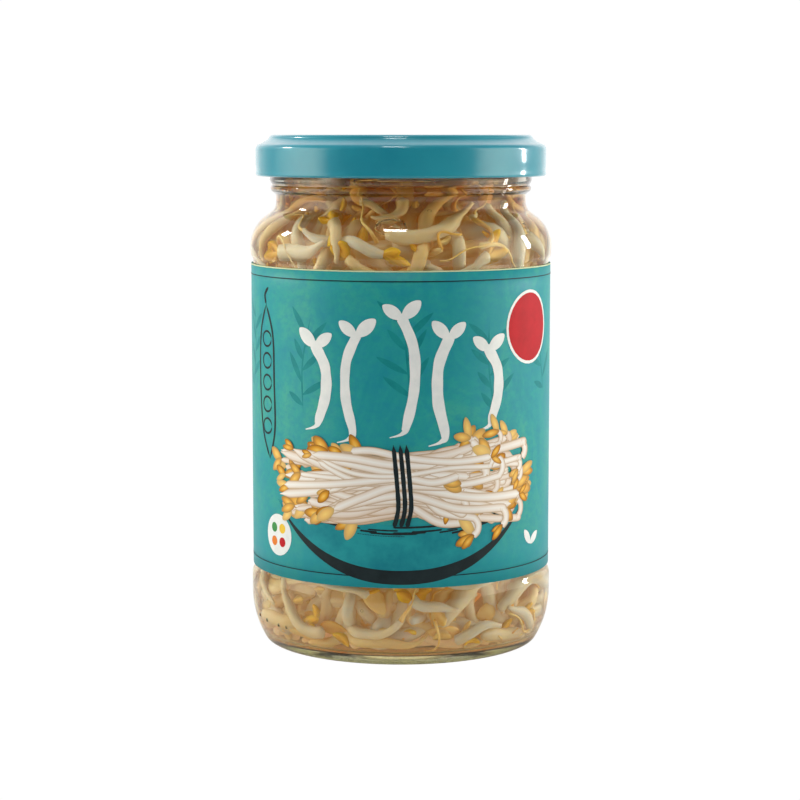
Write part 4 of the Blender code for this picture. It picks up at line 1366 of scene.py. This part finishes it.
def print_label():
    draw = random.Random(SEED)
    films = {name: Print(lift * MM) for name, lift in PRINT_LIFTS.items()}
    white, red, rules, strokes = (films[name] for name in ("white", "red", "rules", "strokes"))
    print_border(rules, films["leaves"], draw)
    print_paper_edge(films["edge"])
    print_shade(films["shade"], strokes, draw)
    print_bundle(films["bundle"], films["ties"], draw)
    print_sprout_icons(white, draw)
    print_pod(strokes, draw)
    badge = (35.0 * MM, 77.0 * MM)
    white.patch(badge, (8.6 * MM, 8.6 * MM), 0.0)
    red.patch(badge, (7.9 * MM, 7.9 * MM), 0.0)
    print_tag(white, (films["green"], films["yellow"], films["orange"], red))
    for lean in (0.6, 2.2):
        place = ((36 + 2.2 * math.cos(lean)) * MM, (26 + 2.2 * math.sin(lean)) * MM)
        white.patch(place, (2.2 * MM, 1.0 * MM), lean, pointed=0.5)
    print_back(white, rules)
    black = ink_material("ink_dark", srgb(22, 34, 38), srgb(30, 44, 48))
    inks = {
        "leaves": ink_material("ink_leaf_teal", srgb(10, 126, 132), srgb(24, 142, 144)),
        "edge": ink_material("bare_paper", srgb(196, 206, 158), srgb(214, 220, 180)),
        "shade": ink_material("ink_deep_teal", srgb(14, 124, 140), srgb(34, 152, 160), 120.0),
        "white": ink_material("ink_white", srgb(230, 234, 234), srgb(242, 243, 242)),
        "red": ink_material("ink_red", srgb(180, 4, 22), srgb(194, 8, 28)),
        "green": ink_material("ink_green", srgb(60, 140, 70), srgb(76, 156, 84)),
        "yellow": ink_material("ink_yellow", srgb(236, 190, 50), srgb(244, 202, 66)),
        "orange": ink_material("ink_orange", srgb(226, 120, 36), srgb(236, 134, 50)),
        "bundle": drawn_material(),
    }
    for name, film in films.items():
        film.finish(f"print_{name}", inks.get(name, black))


# The stage


def soft_light(name, place, aim, size, power, colour=(1.0, 1.0, 1.0)):
    """A rectangular soft box that faces a point."""
    lamp = bpy.data.lights.new(name, "AREA")
    lamp.shape, lamp.size, lamp.size_y = "RECTANGLE", *size
    lamp.energy, lamp.color = power, colour
    box = bpy.data.objects.new(name, lamp)
    box.location = place
    box.rotation_euler = (Vector(aim) - Vector(place)).to_track_quat("-Z", "Y").to_euler()
    bpy.context.scene.collection.objects.link(box)


def value_curve(tree, share, stops):
    """A value that goes straight from stop to stop, each stop a (share, value) pair."""
    most = max(value for _, value in stops)
    node = add_node(tree, "ShaderNodeFloatCurve", {"Value": share})
    curve = node.mapping.curves[0]
    for _ in stops[2:]:
        curve.points.new(0.5, 0.5)
    for spot, (place, value) in zip(curve.points, stops):
        spot.location = (place, value / most)
        spot.handle_type = "VECTOR"
    node.mapping.update()
    return add_node(tree, "ShaderNodeMath", {0: node.outputs[0], 1: most}, operation="MULTIPLY").outputs[0]


def make_stage():
    """A white sweep: plain white to the camera, and to everything else brighter at the sides and behind."""
    bpy.ops.mesh.primitive_plane_add(size=FLOOR_SIZE)
    floor = bpy.context.object
    floor.name = "floor"
    paper, tree, shader = new_material("floor_paper", Base_Color=(0.85, 0.85, 0.85), Roughness=0.9)
    seen = add_node(tree, "ShaderNodeLightPath").outputs["Is Camera Ray"]
    glow = add_node(tree, "ShaderNodeEmission", {"Color": (1.0, 1.0, 1.0, 1.0), "Strength": 1.02})
    both = add_node(tree, "ShaderNodeMixShader", {"Fac": seen})
    tree.links.new(shader.outputs[0], both.inputs[1])
    tree.links.new(glow.outputs[0], both.inputs[2])
    tree.links.new(both.outputs[0], tree.nodes["Material Output"].inputs["Surface"])
    floor.data.materials.append(paper)
    world = bpy.data.worlds.new("studio")
    world.use_nodes = True
    tree = world.node_tree
    way = add_node(tree, "ShaderNodeTexCoord").outputs["Generated"]
    parts = add_node(tree, "ShaderNodeSeparateXYZ", {"Vector": way}).outputs
    aside = add_node(tree, "ShaderNodeMath", {0: parts["X"]}, operation="ABSOLUTE").outputs[0]
    ahead = add_node(tree, "ShaderNodeMath", {0: parts["Y"], 1: -1.0}, operation="MULTIPLY").outputs[0]
    turn = add_node(tree, "ShaderNodeMath", {0: aside, 1: ahead}, operation="ARCTAN2").outputs[0]
    share = map_range(tree, turn, 0.0, math.pi)
    height = map_range(tree, parts["Z"], -1.0, 1.0)
    boxes = add_node(tree, "ShaderNodeMath", operation="MULTIPLY")
    tree.links.new(value_curve(tree, share, BOX_LIGHT), boxes.inputs[0])
    tree.links.new(value_curve(tree, height, BOX_HEIGHT), boxes.inputs[1])
    room = tree.nodes["Background"]
    room.inputs["Color"].default_value = (1.0, 1.0, 1.0, 1.0)
    tree.links.new(value_curve(tree, share, ROOM_LIGHT), room.inputs["Strength"])
    sides = add_node(tree, "ShaderNodeBackground", {"Color": (*BOX_COLOUR, 1.0), "Strength": boxes.outputs[0]})
    white = add_node(tree, "ShaderNodeBackground", {"Color": (1.0, 1.0, 1.0, 1.0), "Strength": 1.02})
    lit = add_node(tree, "ShaderNodeAddShader", {0: room.outputs[0], 1: sides.outputs[0]})
    seen = add_node(tree, "ShaderNodeLightPath").outputs["Is Camera Ray"]
    shown = add_node(tree, "ShaderNodeMixShader", {0: seen, 1: lit.outputs[0], 2: white.outputs[0]})
    tree.links.new(shown.outputs[0], tree.nodes["World Output"].inputs["Surface"])
    bpy.context.scene.world = world
    middle = (0.0, 0.0, 0.09)
    soft_light("left_lamp", (-0.60, 0.19, 0.42), middle, (0.07, 0.10), 1.3)
    soft_light("right_lamp", (0.60, 0.22, 0.21), middle, (0.06, 0.25), 1.25)
    soft_light("top_lamp", (-0.04, -0.30, 0.75), middle, (0.16, 0.10), 1.3)


def make_camera():
    """At the photograph's viewing angle: level with the lid, tilted down to the jar's middle."""
    lens = bpy.data.cameras.new("camera")
    lens.sensor_width, lens.lens = 36.0, 98.46
    lens.clip_start = 0.01
    camera = bpy.data.objects.new("camera", lens)
    camera.location = (-0.0002, -0.524, 0.12075)
    camera.rotation_euler = (math.radians(90 - 6.885), 0.0, 0.0)
    bpy.context.scene.collection.objects.link(camera)
    bpy.context.scene.camera = camera


MUNG_GREEN = srgb(186, 160, 66)


def main():
    make_glass()
    make_brine()
    flesh = [
        sprout_material("sprout_stem", srgb(190, 190, 188), srgb(214, 188, 138), srgb(204, 136, 58), 260.0),
        sprout_material("sprout_bean", srgb(222, 194, 138), srgb(214, 166, 82), srgb(200, 128, 38), 420.0, MUNG_GREEN),
        sprout_material("sprout_root", srgb(226, 200, 146), srgb(212, 162, 82), srgb(200, 128, 44), 500.0),
        sprout_material("sprout_leaf", srgb(236, 184, 26), srgb(226, 158, 8), srgb(206, 124, 8), 500.0),
        # The core: painted shade colours with a stronger glow as painted light
        sprout_material("sprout_depth", srgb(214, 146, 62), srgb(196, 120, 42), srgb(204, 126, 46), 200.0, glow=CORE_GLOW),
        # The sprouts on the floor: paler colours and a stronger glow, painted light from below
        sprout_material(
            "sprout_low", srgb(232, 216, 190), srgb(228, 200, 160), srgb(222, 184, 134), 260.0, None, *LOW_GLOW
        ),
    ]
    make_sprouts(flesh)
    make_lid()
    make_label(label_material())
    print_label()
    make_stage()
    make_camera()
    scene = bpy.context.scene
    scene.view_settings.view_transform = "Standard"
    scene.cycles.transparent_max_bounces = 24
    scene.cycles.transmission_bounces = 12


main()
